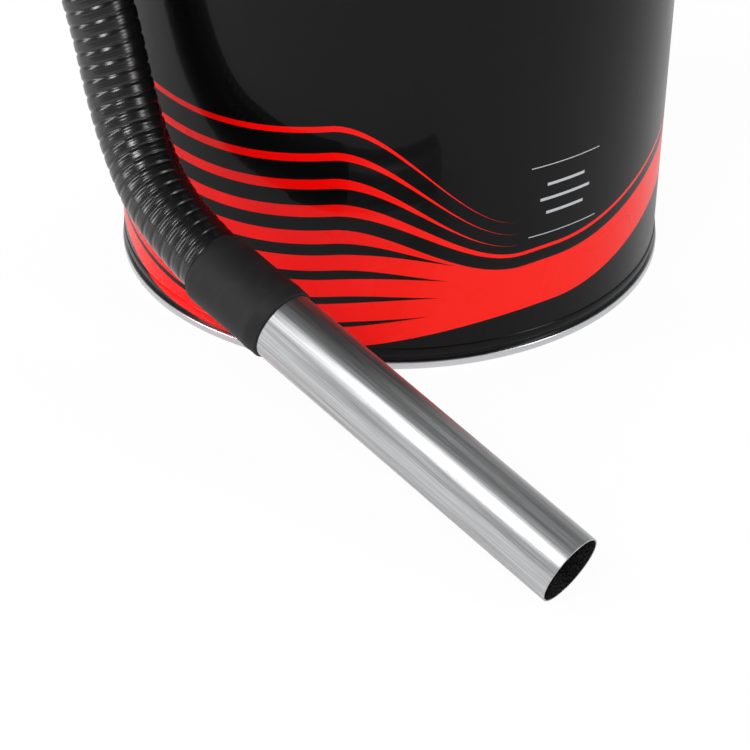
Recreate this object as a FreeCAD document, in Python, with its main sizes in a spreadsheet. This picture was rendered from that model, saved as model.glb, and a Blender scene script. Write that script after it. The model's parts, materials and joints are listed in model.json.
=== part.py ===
import FreeCAD
import Part
import Sketcher
import math
import os
import re

from FreeCAD import Placement, Rotation, Vector

# Canister blower for drying cars: a steel drum that holds the intake filter, a motor head on top
# and a ribbed hose with a bare metal nozzle. Millimetres, +Z up, drum axis on Z, floor at Z = 0.

doc = FreeCAD.newDocument("blower")
sheet = doc.addObject("Spreadsheet::Sheet", "Sizes")

SIZES = [
    ("drumRadius", 152.5, "outside of the drum wall"),
    ("drumWall", 0.8, "sheet steel of the drum"),
    ("drumTop", 300, "height of the rolled top edge"),
    ("curlStand", 2.4, "top curl outside the wall"),
    ("curlHeight", 4.5, "height of the top curl"),
    ("rimStand", 1.6, "bright foot rim outside the wall"),
    ("rimWidth", 5.2, "foot rim across"),
    ("rimHeight", 4.2, "foot rim height"),
    ("rimRound", 0.7, "rounded edges of the foot rim"),
    ("floorSheet", 1.0, "drum floor thickness"),
    ("beadLow", 6.5, "start of the bead above the rim"),
    ("beadWide", 5.5, "height of that bead"),
    ("beadStand", 0.7, "how far the bead stands out"),
    ("gasketThick", 3, "seal between drum and head"),
    ("plateThick", 4, "head plate"),
    ("plateEdge", 2.2, "gap from the head plate to the skirt"),
    ("eyeRadius", 22, "air hole under the fan"),
    ("baseOut", 10.5, "head base outside the drum wall"),
    ("baseWall", 3.5, "moulded wall of the head base"),
    ("skirtDrop", 9, "skirt below the drum's top edge"),
    ("shelfRise", 45, "top face of the head base above the drum"),
    ("shelfLip", 24, "head base inside the motor cover"),
    ("shelfRound", 4, "rounded edge of the head base"),
    ("ledgeWide", 26, "ledge that is screwed to the head plate"),
    ("plateScrews", 6, "screws of the head plate"),
    ("plateScrewIn", 19, "those screws inside the wall of the head base"),
    ("gasketIn", 4, "seal inside the drum wall"),
    ("coverScrews", 6, "screws of the motor cover"),
    ("coverRadius", 104, "outside of the motor cover"),
    ("coverWall", 3, "moulded wall of the motor cover"),
    ("coverTall", 93, "motor cover above the head base"),
    ("coverRound", 26, "round top edge of the cover"),
    ("flangeWide", 8, "screw flange of the cover"),
    ("flangeThick", 3.5, "thickness of that flange"),
    ("ventCount", 14, "cooling slots"),
    ("ventWide", 4, "width of a cooling slot"),
    ("ventTall", 24, "height of a cooling slot"),
    ("ventLift", 13, "lower end of the slots above the head base"),
    ("handleSpan", 148, "carry handle from end to end"),
    ("handleRise", 54, "carry handle above the cover"),
    ("handleDepth", 26, "carry handle front to back"),
    ("handleBar", 20, "height of the bar of the handle"),
    ("handlePost", 24, "width of a post of the handle"),
    ("handleRound", 5, "rounded edges of the handle"),
    ("handleSlant", 8, "how far each end of the handle leans in"),
    ("handleNeck", 4, "how far a post widens up to the bar"),
    ("gripLength", 72, "soft sleeve on the handle"),
    ("gripThick", 2.5, "thickness of the sleeve"),
    ("screwRadius", 2, "shank of every machine screw"),
    ("screwHead", 3.6, "head radius of a machine screw"),
    ("screwRise", 2.2, "head height of a machine screw"),
    ("screwDeep", 7, "shank length of a machine screw"),
    ("rivetRadius", 2.0, "rivet shank"),
    ("rivetHead", 3.4, "rivet head radius"),
    ("rivetRise", 1.2, "rivet head height"),
    ("switchWide", 20, "switch body across"),
    ("switchLong", 28, "switch body front to back"),
    ("switchDeep", 24, "switch body below the cover"),
    ("switchBack", 58, "switch centre in front of the axis"),
    ("bezelEdge", 3, "bezel beyond the switch body"),
    ("bezelRise", 2, "bezel height"),
    ("rockerHalf", 10.9, "half length of the rocker"),
    ("rockerGap", 0.3, "gap round the rocker"),
    ("rockerTilt", 10, "tilt of the rocker to each side"),
    ("rockerPin", 1.2, "pivot pin radius of the rocker"),
    ("pivotDeep", 1.5, "rocker pivot below the cover's top"),
    ("wellDeep", 8, "well of the switch below the cover's top"),
    ("wellEdge", 2, "wall of the switch beside its well"),
    ("wellGap", 1.1, "gap at each end of the rocker"),
    ("pinEdge", 0.4, "wall of the switch past the pivot pin"),
    ("terminalLong", 8, "terminals below the switch"),
    ("terminalApart", 10, "from one terminal to the other"),
    ("pinGap", 0.05, "running clearance of pins and shafts"),
    ("glandLift", 52, "cord gland above the head base"),
    ("glandRadius", 8.5, "cord gland"),
    ("glandLong", 15, "cord gland outside the cover"),
    ("glandBore", 4, "hole for a mains lead"),
    ("glandFlange", 3, "flange of the gland beyond it and outside the cover"),
    ("glandIn", 2, "gland inside the cover's wall"),
    ("portX", 128, "blow port to the right of the axis"),
    ("portY", -82, "blow port in front of the axis"),
    ("portLift", 22, "blow port's outlet above the head base"),
    ("elbowWall", 4, "elbow of the blow port outside its spigot"),
    ("portBore", 13, "air way of the blow port"),
    ("spigotWall", 2.5, "wall of the spigot that takes the hose end"),
    ("elbowLong", 28, "elbow from its centre to the spigot"),
    ("spigotLong", 21, "length of the spigot"),
    ("portFlangeEdge", 7.5, "flange of the blow port beyond its elbow"),
    ("portFlangeThick", 3, "thickness of that flange"),
    ("portSeal", 1.5, "gasket under the blow port"),
    ("bossEdge", 1.5, "boss of the head base beyond that flange"),
    ("bossTall", 23, "height of that boss"),
    ("hoseLess", 0.5, "hose over its ribs, less than the nozzle"),
    ("ribDeep", 0.65, "depth of the grooves between ribs"),
    ("hoseWall", 2.4, "wall of the hose with its ribs"),
    ("ribPitch", 7, "one rib to the next"),
    ("hoseFit", 0.2, "cuff bore outside the hose"),
    ("connectorWall", 3.3, "wall of the rubber connector at the port"),
    ("hoseHeld", 34, "length of hose inside the connector"),
    ("nozzleRadius", 17.5, "outside of the metal nozzle"),
    ("nozzleWall", 0.8, "wall of the metal nozzle"),
    ("nozzleShown", 180, "nozzle in front of the cuff"),
    ("nozzleHeld", 16, "nozzle inside the cuff"),
    ("nozzleSwage", 0.3, "how far that held end is drawn in"),
    ("nozzleX", 76.7, "nozzle tip to the right"),
    ("nozzleY", -336, "nozzle tip in front"),
    ("nozzleTurn", -41.9, "direction of the nozzle, in plan"),
    ("nozzleTilt", 17.1, "nozzle slope down to its tip"),
    ("cuffWall", 1.3, "nozzle cuff outside the nozzle"),
    ("cuffLong", 49, "length of the nozzle cuff"),
    ("cuffChamfer", 1.2, "bevel at the ends of the cuff"),
    ("hoseInCuff", 32, "length of hose inside the cuff"),
    ("intakeTurn", 45, "direction of the intake, in plan"),
    ("intakeDown", 85, "intake below the drum's top edge"),
    ("intakeRadius", 24, "outside of the intake collar"),
    ("intakeWall", 3, "wall of the intake collar"),
    ("intakeLong", 22, "intake collar outside the drum"),
    ("intakeEdge", 10, "flange of the intake collar beyond it"),
    ("intakeSheet", 3.5, "flange face beyond the drum"),
    ("guardThick", 1.5, "intake guard"),
    ("guardBack", 6, "intake guard behind the collar's end"),
    ("latchOut", 5, "latch pivot outside the head base"),
    ("latchDown", 38, "latch pivot below the drum's top edge"),
    ("latchWide", 30, "latch base plate across"),
    ("latchTall", 50, "latch base plate height"),
    ("latchSheet", 1.5, "sheet of the latch parts"),
    ("latchPin", 1.8, "latch pivot pin radius"),
    ("earHalf", 9, "outside of the latch ears"),
    ("earDrop", 9, "latch ears below their pin"),
    ("earRound", 4, "round end of a latch ear"),
    ("curlRadius", 2.2, "curled lower edge of the lever"),
    ("bailFoot", 4.6, "feet of the bail inside its sides"),
    ("bailBend", 4, "upper corners of the bail"),
    ("footBend", 2.4, "lower corners of the bail"),
    ("cheekGap", 1, "lever's cheeks outside the ears"),
    ("leverDrop", 36, "lever below its pivot"),
    ("leverRise", 6, "lever above its pivot"),
    ("leverOut", 4.5, "back plate of the lever outside its pivot"),
    ("bailWire", 1.4, "wire radius of the bail"),
    ("bailIn", 1.5, "bail pivot inside the lever pivot"),
    ("bailDown", 16, "bail pivot below the lever pivot"),
    ("bailLong", 69, "bail from pivot to hook"),
    ("bailLean", 1, "how far the bail leans out on the way up"),
    ("bailGap", 2, "middle of the bail's wire outside the cheeks"),
    ("hookDown", 15, "hook plate below the top of the head base"),
    ("hookFloor", 2.0, "hook floor below the bail's wire centre"),
    ("hookRivetDown", 3.6, "rivets of the hook below its top"),
    ("hookReach", 6.5, "inside width of the hook's trough"),
    ("hookLip", 4, "height of the hook's lip"),
    ("cushionThick", 4, "rubber under the fan casing"),
    ("cushionIn", 6, "that rubber inside the casing's edge"),
    ("cushionWide", 17, "width of that rubber"),
    ("casingRadius", 68, "fan casing"),
    ("casingWall", 1.2, "sheet of the fan casing"),
    ("casingTall", 28, "height of the fan casing"),
    ("fanGap", 6.8, "fan wheel inside the casing's wall"),
    ("fanTall", 10, "height of the fan wheel"),
    ("fanLift", 3, "fan wheel above the casing's floor"),
    ("fanBlades", 9, "blades of the fan wheel"),
    ("hubRadius", 8, "hub of the fan wheel"),
    ("bladeThick", 1, "sheet of blades and discs"),
    ("guideThick", 3, "plate of the air guide"),
    ("guideBore", 12, "hole in the air guide"),
    ("guideVanes", 8, "vanes of the air guide"),
    ("guideTall", 7, "height of those vanes"),
    ("guideLift", 14.5, "air guide above the casing's floor"),
    ("bracketThick", 3, "plates of the motor bracket"),
    ("postRadius", 4, "posts of the motor bracket"),
    ("postIn", 12, "posts inside the casing's edge"),
    ("postTall", 62, "height of the posts"),
    ("bearingOuter", 11, "outside of a bearing"),
    ("bearingTall", 7, "height of a bearing"),
    ("bearingSeat", 3, "wall round a bearing"),
    ("shaftRadius", 4, "motor shaft"),
    ("nutRadius", 6.5, "nut across its corners, halved"),
    ("nutTall", 4, "nut height"),
    ("statorHalf", 38, "half depth of the stator"),
    ("statorBore", 24, "bore of the stator"),
    ("statorLift", 13, "stator above the fan casing"),
    ("statorTall", 28, "height of the stator"),
    ("rotorGap", 0.6, "air gap round the armature"),
    ("slotCount", 12, "slots of the armature"),
    ("slotRadius", 1.6, "size of an armature slot"),
    ("coilTall", 6, "height of a coil end"),
    ("coilWide", 40, "length of a coil end"),
    ("coilDeep", 11, "depth of a coil end"),
    ("commLift", 47, "commutator above the fan casing"),
    ("commTall", 15, "height of the commutator"),
    ("commRadius", 12.9, "commutator"),
    ("commBars", 20, "bars of the commutator"),
    ("brushGap", 0.2, "brush face off the commutator"),
    ("brushHalf", 3, "half size of a brush"),
    ("brushLong", 20, "length of a brush"),
    ("holderHalf", 5, "half size of a brush holder"),
    ("coolerRadius", 38, "motor cooling fan"),
    ("coolerTall", 9, "height of the cooling fan"),
    ("coolerLift", 75, "cooling fan above the fan casing"),
    ("coolerBlades", 8, "blades of the cooling fan"),
    ("capRadius", 8, "capacitor"),
    ("capTall", 30, "height of the capacitor"),
    ("capGap", 3, "capacitor inside the cover's wall"),
    ("cageRadius", 58, "filter cage"),
    ("cageTall", 140, "height of the filter cage"),
    ("cageRods", 8, "rods of the filter cage"),
    ("rodRadius", 2, "rod of the filter cage"),
    ("rodIn", 3, "rods inside the cage's edge"),
    ("ringIn", 6, "cage ring inside the cage's edge"),
    ("ringOut", 2, "cage ring outside the cage's edge"),
    ("wingHub", 7, "hub of the wing nut"),
    ("wingLong", 19, "wing nut from its axis to the end of a wing"),
    ("wingTall", 12, "height of a wing"),
    ("wingThick", 2.4, "thickness of a wing"),
    ("wingDown", 2, "wings below the top of the wing nut"),
    ("ringTall", 3, "rings of the filter cage"),
    ("studRadius", 3, "stud of the filter cage"),
    ("studLong", 22, "length of that stud"),
    ("pleatDeep", 12, "depth of the pleats"),
    ("pleatWall", 5, "cartridge inside its pleats"),
    ("pleatGap", 1, "cartridge outside the cage's ring"),
    ("pleatCount", 36, "pleats of the cartridge"),
    ("capDiscThick", 4, "end cap of the filter"),
    ("capDiscEdge", 2, "end cap beyond the pleats"),
]

# Heights that several pieces share, written once as sums of sizes

plateLow = "drumTop + gasketThick"
plateHigh = "drumTop + gasketThick + plateThick"
ledgeHigh = "drumTop + gasketThick + plateThick + baseWall"
casingLow = f"{plateHigh} + cushionThick"
casingFloor = f"{casingLow} + casingWall"
casingHigh = f"{casingLow} + casingTall"
bracketHigh = f"{casingHigh} + postTall"

# Sizes that follow from others; a formula names them as it names a size

FOLLOWING = {
    "baseRadius": "drumRadius + baseOut",
    "shelfTop": "drumTop + shelfRise",
    "shelfBore": "coverRadius - shelfLip",
    "coverTop": "shelfTop + coverTall",
    "ventLow": "shelfTop + ventLift",
    "glandHigh": "shelfTop + glandLift",
    "portHigh": "shelfTop + portLift",
    "hoseRadius": "nozzleRadius - hoseLess",
    "hoseGroove": "hoseRadius - ribDeep",
    "hoseBore": "hoseRadius - hoseWall",
    "connectorRadius": "hoseRadius + hoseFit + connectorWall",
    "cuffRadius": "nozzleRadius + cuffWall",
    "spigotRadius": "portBore + spigotWall",
    "elbowRadius": "spigotRadius + elbowWall",
    "portFlange": "elbowRadius + portFlangeEdge",
    "bossRadius": "portFlange + bossEdge",
    "intakeHigh": "drumTop - intakeDown",
    "intakeBore": "intakeRadius - intakeWall",
    "intakeFlange": "intakeRadius + intakeEdge",
    "pivotOut": "baseRadius + latchOut",
    "latchHigh": "drumTop - latchDown",
    "cheekHalf": "earHalf + latchSheet + cheekGap",
    "bailHalf": "cheekHalf + bailGap",
    "hookTop": "shelfTop - hookDown",
    "hookHalf": "bailHalf - bailBend",
    "cushionOuter": "casingRadius - cushionIn",
    "cushionInner": "cushionOuter - cushionWide",
    "fanRadius": "casingRadius - casingWall - fanGap",
    "postSpread": "casingRadius - postIn",
    "statorLow": f"{casingHigh} + statorLift",
    "commLow": f"{casingHigh} + commLift",
    "coolerLow": f"{casingHigh} + coolerLift",
    "capBack": "coverRadius - coverWall - capRadius - capGap",
    "pleatBore": "cageRadius + ringOut + pleatGap",
    "pleatInner": "pleatBore + pleatWall",
    "pleatOuter": "pleatInner + pleatDeep",
}

names = set()
for row, (alias, value, note) in enumerate(SIZES, start=1):
    sheet.set(f"A{row}", note)
    sheet.set(f"B{row}", str(value))
    sheet.setAlias(f"B{row}", alias)
    names.add(alias)
doc.recompute()


def size(alias):
    if alias in FOLLOWING:
        return heightOf(FOLLOWING[alias])
    return float(getattr(sheet, alias))


def heightOf(formula):
    # the value of a sum and difference of named sizes
    total = 0.0
    sign = 1
    for word in formula.split():
        if word in "+-":
            sign = 1 if word == "+" else -1
        else:
            total += sign * size(word)
    return total


def onSheet(text):
    # drumRadius becomes Sizes.drumRadius, and a size that follows from others becomes its formula
    def written(word):
        if word[0] in FOLLOWING:
            return f"({onSheet(FOLLOWING[word[0]])})"
        return "Sizes." + word[0] if word[0] in names else word[0]

    return re.sub(r"[A-Za-z]\w*", written, str(text))


def bind(item, **formulas):
    for prop, text in formulas.items():
        item.setExpression(prop.replace("_", "."), onSheet(text))


def place(item, x="0", y="0", z="0", turn=None):
    if turn is not None:
        item.Placement = Placement(Vector(), turn)
    item.setExpression("Placement.Base.x", onSheet(x))
    item.setExpression("Placement.Base.y", onSheet(y))
    item.setExpression("Placement.Base.z", onSheet(z))
    return item


def cylinder(radius, height, x="0", y="0", z="0", turn=None):
    item = doc.addObject("Part::Cylinder", "rod")
    bind(item, Radius=radius, Height=height)
    return place(item, x, y, z, turn)


def box(length, width, height, x="0", y="0", z="0", turn=None):
    # the box is centred on x and y and stands on z
    item = doc.addObject("Part::Box", "block")
    bind(item, Length=length, Width=width, Height=height)
    return place(item, f"{x} - ({length}) / 2", f"{y} - ({width}) / 2", z, turn)


def cut(base, *tools):
    for tool in tools:
        item = doc.addObject("Part::Cut", "cut")
        item.Base = base
        item.Tool = tool
        base = item
    return base


def fuse(*parts):
    item = doc.addObject("Part::MultiFuse", "union")
    item.Shapes = list(parts)
    item.Refine = True
    return item


def group(*parts):
    item = doc.addObject("Part::Compound", "set")
    item.Links = list(parts)
    return item


def tube(outer, inner, height, x="0", y="0", z="0", turn=None):
    return cut(cylinder(outer, height, x, y, z, turn), cylinder(inner, height, x, y, z, turn))


def shaped(shape, placement=None):
    item = doc.addObject("Part::Feature", "form")
    item.Shape = shape
    if placement is not None:
        item.Placement = placement
    return item


def plane(body, role):
    return next(f for f in body.Origin.OriginFeatures if f.Role == role)


def outline(body, role, corners):
    # a closed outline whose corners are bound to the sheet; it starts as a rough ring of points
    sketch = body.newObject("Sketcher::SketchObject", "outline")
    sketch.AttachmentSupport = [(plane(body, role), "")]
    sketch.MapMode = "FlatFace"
    count = len(corners)
    reach = size("drumRadius")
    ring = [Vector(*polar(reach, 0, 360 * i / count), 0) + Vector(2 * reach, 0, 0) for i in range(count)]
    for i in range(count):
        sketch.addGeometry(Part.LineSegment(ring[i], ring[(i + 1) % count]), False)
    for i in range(count):
        sketch.addConstraint(Sketcher.Constraint("Coincident", i, 2, (i + 1) % count, 1))
    for i, (across, up) in enumerate(corners):
        for kind, text in (("DistanceX", across), ("DistanceY", up)):
            index = sketch.addConstraint(Sketcher.Constraint(kind, -1, 1, i, 1, 1.0))
            sketch.setExpression(f"Constraints[{index}]", onSheet(text))
    return sketch


def revolved(corners, turn=None, x="0", y="0", z="0"):
    # an outline of (radius, height) corners turned about the body's own Z axis
    body = doc.addObject("PartDesign::Body", "turned")
    sketch = outline(body, "XZ_Plane", corners)
    feature = body.newObject("PartDesign::Revolution", "turning")
    feature.Profile = sketch
    feature.ReferenceAxis = (sketch, ["V_Axis"])
    feature.Angle = 360
    return place(body, x, y, z, turn)


def padded(corners, depth, role="XZ_Plane", turn=None, x="0", y="0", z="0"):
    # an outline pushed out to both sides of its plane
    body = doc.addObject("PartDesign::Body", "padded")
    sketch = outline(body, role, corners)
    feature = body.newObject("PartDesign::Pad", "pad")
    feature.Profile = sketch
    feature.Midplane = True
    bind(feature, Length=depth)
    return place(body, x, y, z, turn)


def rounded(body, radius, wanted):
    # a fillet on those edges of a body for which wanted(edge) is true
    doc.recompute()
    base = body.Tip
    edges = [f"Edge{i}" for i, edge in enumerate(base.Shape.Edges, start=1) if wanted(edge)]
    fillet = body.newObject("PartDesign::Fillet", "round")
    fillet.Base = (base, edges)
    bind(fillet, Radius=radius)
    return body


def circleAt(radius, height):
    def wanted(edge):
        curve = edge.Curve
        return (isinstance(curve, Part.Circle) and abs(curve.Radius - radius) < 0.01
                and abs(curve.Center.z - height) < 0.01)
    return wanted


def polar(x, y, degrees):
    turned = math.radians(degrees)
    return (x * math.cos(turned) - y * math.sin(turned), x * math.sin(turned) + y * math.cos(turned))


def around(count, radius, first=0.0):
    # places evenly round the Z axis
    return [polar(radius, 0, first + 360 * i / count) for i in range(int(count))]


def block(low, high):
    return Part.makeBox(high[0] - low[0], high[1] - low[1], high[2] - low[2], Vector(*low))


def drills(places, radius, low, deep):
    # one tool that drills the same upright hole at each place
    return shaped(Part.makeCompound([Part.makeCylinder(radius, deep, Vector(x, y, low)) for x, y in places]))


def screwSet(places, seat):
    # pan-head machine screws whose heads stand on the height called seat
    def one(x, y):
        head = Part.makeCylinder(size("screwHead"), size("screwRise"), Vector(x, y, seat))
        head = head.makeFillet(size("screwRise") * 0.45, [head.Edges[0]])
        # a cross of two bars is sunk into the head
        long = size("screwHead") * 0.7
        wide = size("screwHead") * 0.15
        low = seat + size("screwRise") * 0.64
        high = seat + size("screwRise") + 1
        cross = block((x - wide, y - long, low), (x + wide, y + long, high))
        cross = cross.fuse(block((x - long, y - wide, low), (x + long, y + wide, high)))
        shank = Part.makeCylinder(size("screwRadius"), size("screwDeep"), Vector(x, y, seat - size("screwDeep")))
        return head.cut(cross).fuse(shank).removeSplitter()
    return shaped(Part.makeCompound([one(x, y) for x, y in places]))


pieces = {}


def piece(label, item):
    item.Label = label
    pieces[label] = item
    return item


ALONG_X = Rotation(Vector(0, 1, 0), 90)
ALONG_Y = Rotation(Vector(1, 0, 0), -90)
LEFT = -1
RIGHT = 1

# Frame of the nozzle: origin at the middle of its mouth, Z back up the tube

slope = math.radians(size("nozzleTilt"))
heading = math.radians(size("nozzleTurn"))
forward = Vector(math.cos(heading) * math.cos(slope), math.sin(heading) * math.cos(slope), -math.sin(slope))
tip = Vector(size("nozzleX"), size("nozzleY"), size("nozzleRadius") * math.cos(slope))
nozzleFrame = Placement(tip, Rotation(Vector(0, 0, 1), forward * -1))


def makeDrum():
    wall = revolved([
        ("drumRadius - drumWall", "rimHeight"),
        ("drumRadius", "rimHeight"),
        ("drumRadius", "beadLow"),
        ("drumRadius + beadStand", "beadLow + beadWide * 0.3"),
        ("drumRadius + beadStand", "beadLow + beadWide * 0.7"),
        ("drumRadius", "beadLow + beadWide"),
        ("drumRadius", "drumTop - curlHeight"),
        ("drumRadius + curlStand", "drumTop - curlHeight * 0.8"),
        ("drumRadius + curlStand", "drumTop - curlHeight * 0.2"),
        ("drumRadius + curlStand * 0.6", "drumTop"),
        ("drumRadius - drumWall", "drumTop"),
    ])
    opening = shaped(Part.makeCylinder(size("intakeRadius"), 2 * size("intakeLong")),
                     intakeFrame(size("drumRadius") - size("intakeLong")))
    piece("drum_shell", cut(wall, opening))
    inside = "drumRadius + rimStand - rimWidth"
    floor = revolved([
        ("0", "rimHeight - floorSheet"),
        (inside, "rimHeight - floorSheet"),
        (inside, "rimRound"),
        (f"{inside} + rimRound", "0"),
        ("drumRadius + rimStand - rimRound", "0"),
        ("drumRadius + rimStand", "rimRound"),
        ("drumRadius + rimStand", "rimHeight - rimRound"),
        ("drumRadius + rimStand - rimRound", "rimHeight"),
        ("0", "rimHeight"),
    ])
    piece("drum_floor", floor)
    piece("drum_gasket", tube("drumRadius + curlStand * 0.6", "drumRadius - gasketIn", "gasketThick", z="drumTop"))


def intakeFrame(distance):
    # origin on the intake's axis at that distance from the drum axis, Z outwards
    turn = Rotation(Vector(0, 0, 1), size("intakeTurn")).multiply(ALONG_X)
    x, y = polar(distance, 0, size("intakeTurn"))
    return Placement(Vector(x, y, size("intakeHigh")), turn)


def makeIntake():
    face = size("drumRadius") + size("intakeSheet")
    end = size("drumRadius") + size("intakeLong")
    start = size("drumRadius") - size("intakeSheet")
    drumSkin = Part.makeCylinder(size("drumRadius"), size("drumTop"))
    flange = Part.makeCylinder(size("intakeFlange"), face - start + 2)
    flange.Placement = intakeFrame(start - 2)
    flange = flange.cut(drumSkin)
    collar = Part.makeCylinder(size("intakeRadius"), end - start)
    collar.Placement = intakeFrame(start)
    bore = Part.makeCylinder(size("intakeBore"), end - start + 8)
    bore.Placement = intakeFrame(start - 4)
    places = around(4, size("intakeRadius") + (size("intakeFlange") - size("intakeRadius")) / 2, 45)
    holes = Part.makeCompound([Part.makeCylinder(size("rivetRadius"), 20, Vector(x, y, 0)) for x, y in places])
    holes.Placement = intakeFrame(face - 10)
    piece("drum_shell", cut(pieces["drum_shell"], shaped(holes.copy())))
    piece("intake_collar", shaped(flange.fuse(collar).cut(bore).cut(holes).removeSplitter()))
    guard = Part.makeCylinder(size("intakeBore"), size("guardThick"))
    slots = [Part.makeBox(2 * size("intakeBore") * 0.42 * wide, 3.4, 4, Vector(-size("intakeBore") * 0.42 * wide,
                                                                             offset - 1.7, -1))
             for offset, wide in ((-12, 1.4), (-6, 1.9), (0, 2.0), (6, 1.9), (12, 1.4))]
    guard = guard.cut(Part.makeCompound(slots))
    piece("intake_guard", shaped(guard, intakeFrame(end - size("guardBack"))))
    rivets = []
    for x, y in places:
        head = Part.makeCylinder(size("rivetHead"), size("rivetRise"), Vector(x, y, 0))
        head = head.makeFillet(size("rivetRise") * 0.6, [head.Edges[0]])
        shank = Part.makeCylinder(size("rivetRadius"), size("intakeSheet") + size("drumWall"),
                                  Vector(x, y, -size("intakeSheet") - size("drumWall")))
        rivets.append(head.fuse(shank))
    piece("intake_rivets", shaped(Part.makeCompound(rivets), intakeFrame(face)))


def headPlaces():
    # screws that hold the ledge of the head base down on the head plate
    radius = heightOf("baseRadius - baseWall - plateScrewIn")
    return around(size("plateScrews"), radius, 180 / size("plateScrews"))


def headHoles():
    low = heightOf(f"{plateLow} - screwRadius")
    return drills(headPlaces(), size("screwRadius"), low, heightOf(f"{ledgeHigh} + screwRadius") - low)


def makePlate():
    plate = tube("baseRadius - baseWall - plateEdge", "eyeRadius", "plateThick", z=plateLow)
    piece("head_plate", cut(plate, headHoles()))
    piece("plate_screws", screwSet(headPlaces(), heightOf(ledgeHigh)))


def portPlaces():
    # screws of the blow port, round its vertical axis
    ring = (size("elbowRadius") + size("portFlange")) / 2
    return [(size("portX") + x, size("portY") + y) for x, y in around(4, ring, 45)]


def coverPlaces():
    return around(size("coverScrews"), size("coverRadius") + size("flangeWide") * 0.5, 0)


def handlePlaces():
    spread = size("handleSpan") / 2 - size("handlePost") / 2
    return [(side * spread, depth * size("handleDepth") * 0.24) for side in (LEFT, RIGHT) for depth in (-1, 1)]


def makeShelf():
    inner = "baseRadius - baseWall"
    base = revolved([
        (inner, "drumTop - skirtDrop"),
        ("baseRadius", "drumTop - skirtDrop"),
        ("baseRadius", "shelfTop"),
        ("shelfBore", "shelfTop"),
        ("shelfBore", "shelfTop - baseWall"),
        (inner, "shelfTop - baseWall"),
        (inner, ledgeHigh),
        (f"{inner} - ledgeWide", ledgeHigh),
        (f"{inner} - ledgeWide", plateHigh),
        (inner, plateHigh),
    ])
    rounded(base, "shelfRound", circleAt(size("baseRadius"), size("shelfTop")))
    # the boss under the blow port only bulges out of the wall, and is open inside it
    boss = cylinder("bossRadius", "bossTall", "portX", "portY", "shelfTop - bossTall")
    boss = cut(boss, cylinder(inner, "bossTall", z="shelfTop - baseWall - bossTall"))
    airway = cylinder("portBore", "2 * bossTall", "portX", "portY", "shelfTop - bossTall + baseWall")
    deep = size("screwDeep")
    portHoles = drills(portPlaces(), size("screwRadius"), size("shelfTop") - deep, 2 * deep)
    coverHoles = drills(coverPlaces(), size("screwRadius"), size("shelfTop") - deep, 2 * deep)
    piece("head_base", cut(fuse(base, boss), airway, portHoles, coverHoles, headHoles(), hookDrills()))


def makeCover():
    flangeTop = "shelfTop + flangeThick"
    cover = revolved([
        ("coverRadius - coverWall", "shelfTop"),
        ("coverRadius + flangeWide", "shelfTop"),
        ("coverRadius + flangeWide", flangeTop),
        ("coverRadius", flangeTop),
        ("coverRadius", "coverTop"),
        ("0", "coverTop"),
        ("0", "coverTop - coverWall"),
        ("coverRadius - coverWall", "coverTop - coverWall"),
    ])
    rounded(cover, "coverRound", circleAt(size("coverRadius"), size("coverTop")))
    rounded(cover, "coverRound - coverWall",
            circleAt(size("coverRadius") - size("coverWall"), size("coverTop") - size("coverWall")))
    window = box("switchWide + 2 * pinGap", "switchLong + 2 * pinGap", "coverWall * 3",
                 y="0 - switchBack", z="coverTop - 2 * coverWall")
    glandHole = cylinder("glandRadius * 0.7", "coverWall * 4", y="coverRadius - 2 * coverWall", z="glandHigh",
                         turn=ALONG_Y)
    slots = []
    for i in range(int(size("ventCount"))):
        # two banks of slots, at the left and right of the back
        bank = LEFT if i < size("ventCount") / 2 else RIGHT
        step = i % (size("ventCount") / 2)
        bearing = 90 + bank * (24 + 8 * step)
        slot = Part.makeBox(4 * size("coverWall"), size("ventWide"), size("ventTall"),
                            Vector(size("coverRadius") - 2 * size("coverWall"), -size("ventWide") / 2,
                                   size("ventLow")))
        ends = [edge for edge in slot.Edges if abs(edge.Length - 4 * size("coverWall")) < 0.01]
        slot = slot.makeFillet(size("ventWide") * 0.45, ends)
        slot.rotate(Vector(), Vector(0, 0, 1), bearing)
        slots.append(slot)
    vents = shaped(Part.makeCompound(slots))
    flangeHoles = drills(coverPlaces(), size("screwRadius"), size("shelfTop") - 1, 8)
    handleHoles = drills(handlePlaces(), size("screwRadius"), size("coverTop") - 8, 10)
    piece("head_cover", cut(cover, window, glandHole, vents, flangeHoles, handleHoles))
    piece("cover_screws", screwSet(coverPlaces(), heightOf(flangeTop)))


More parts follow.
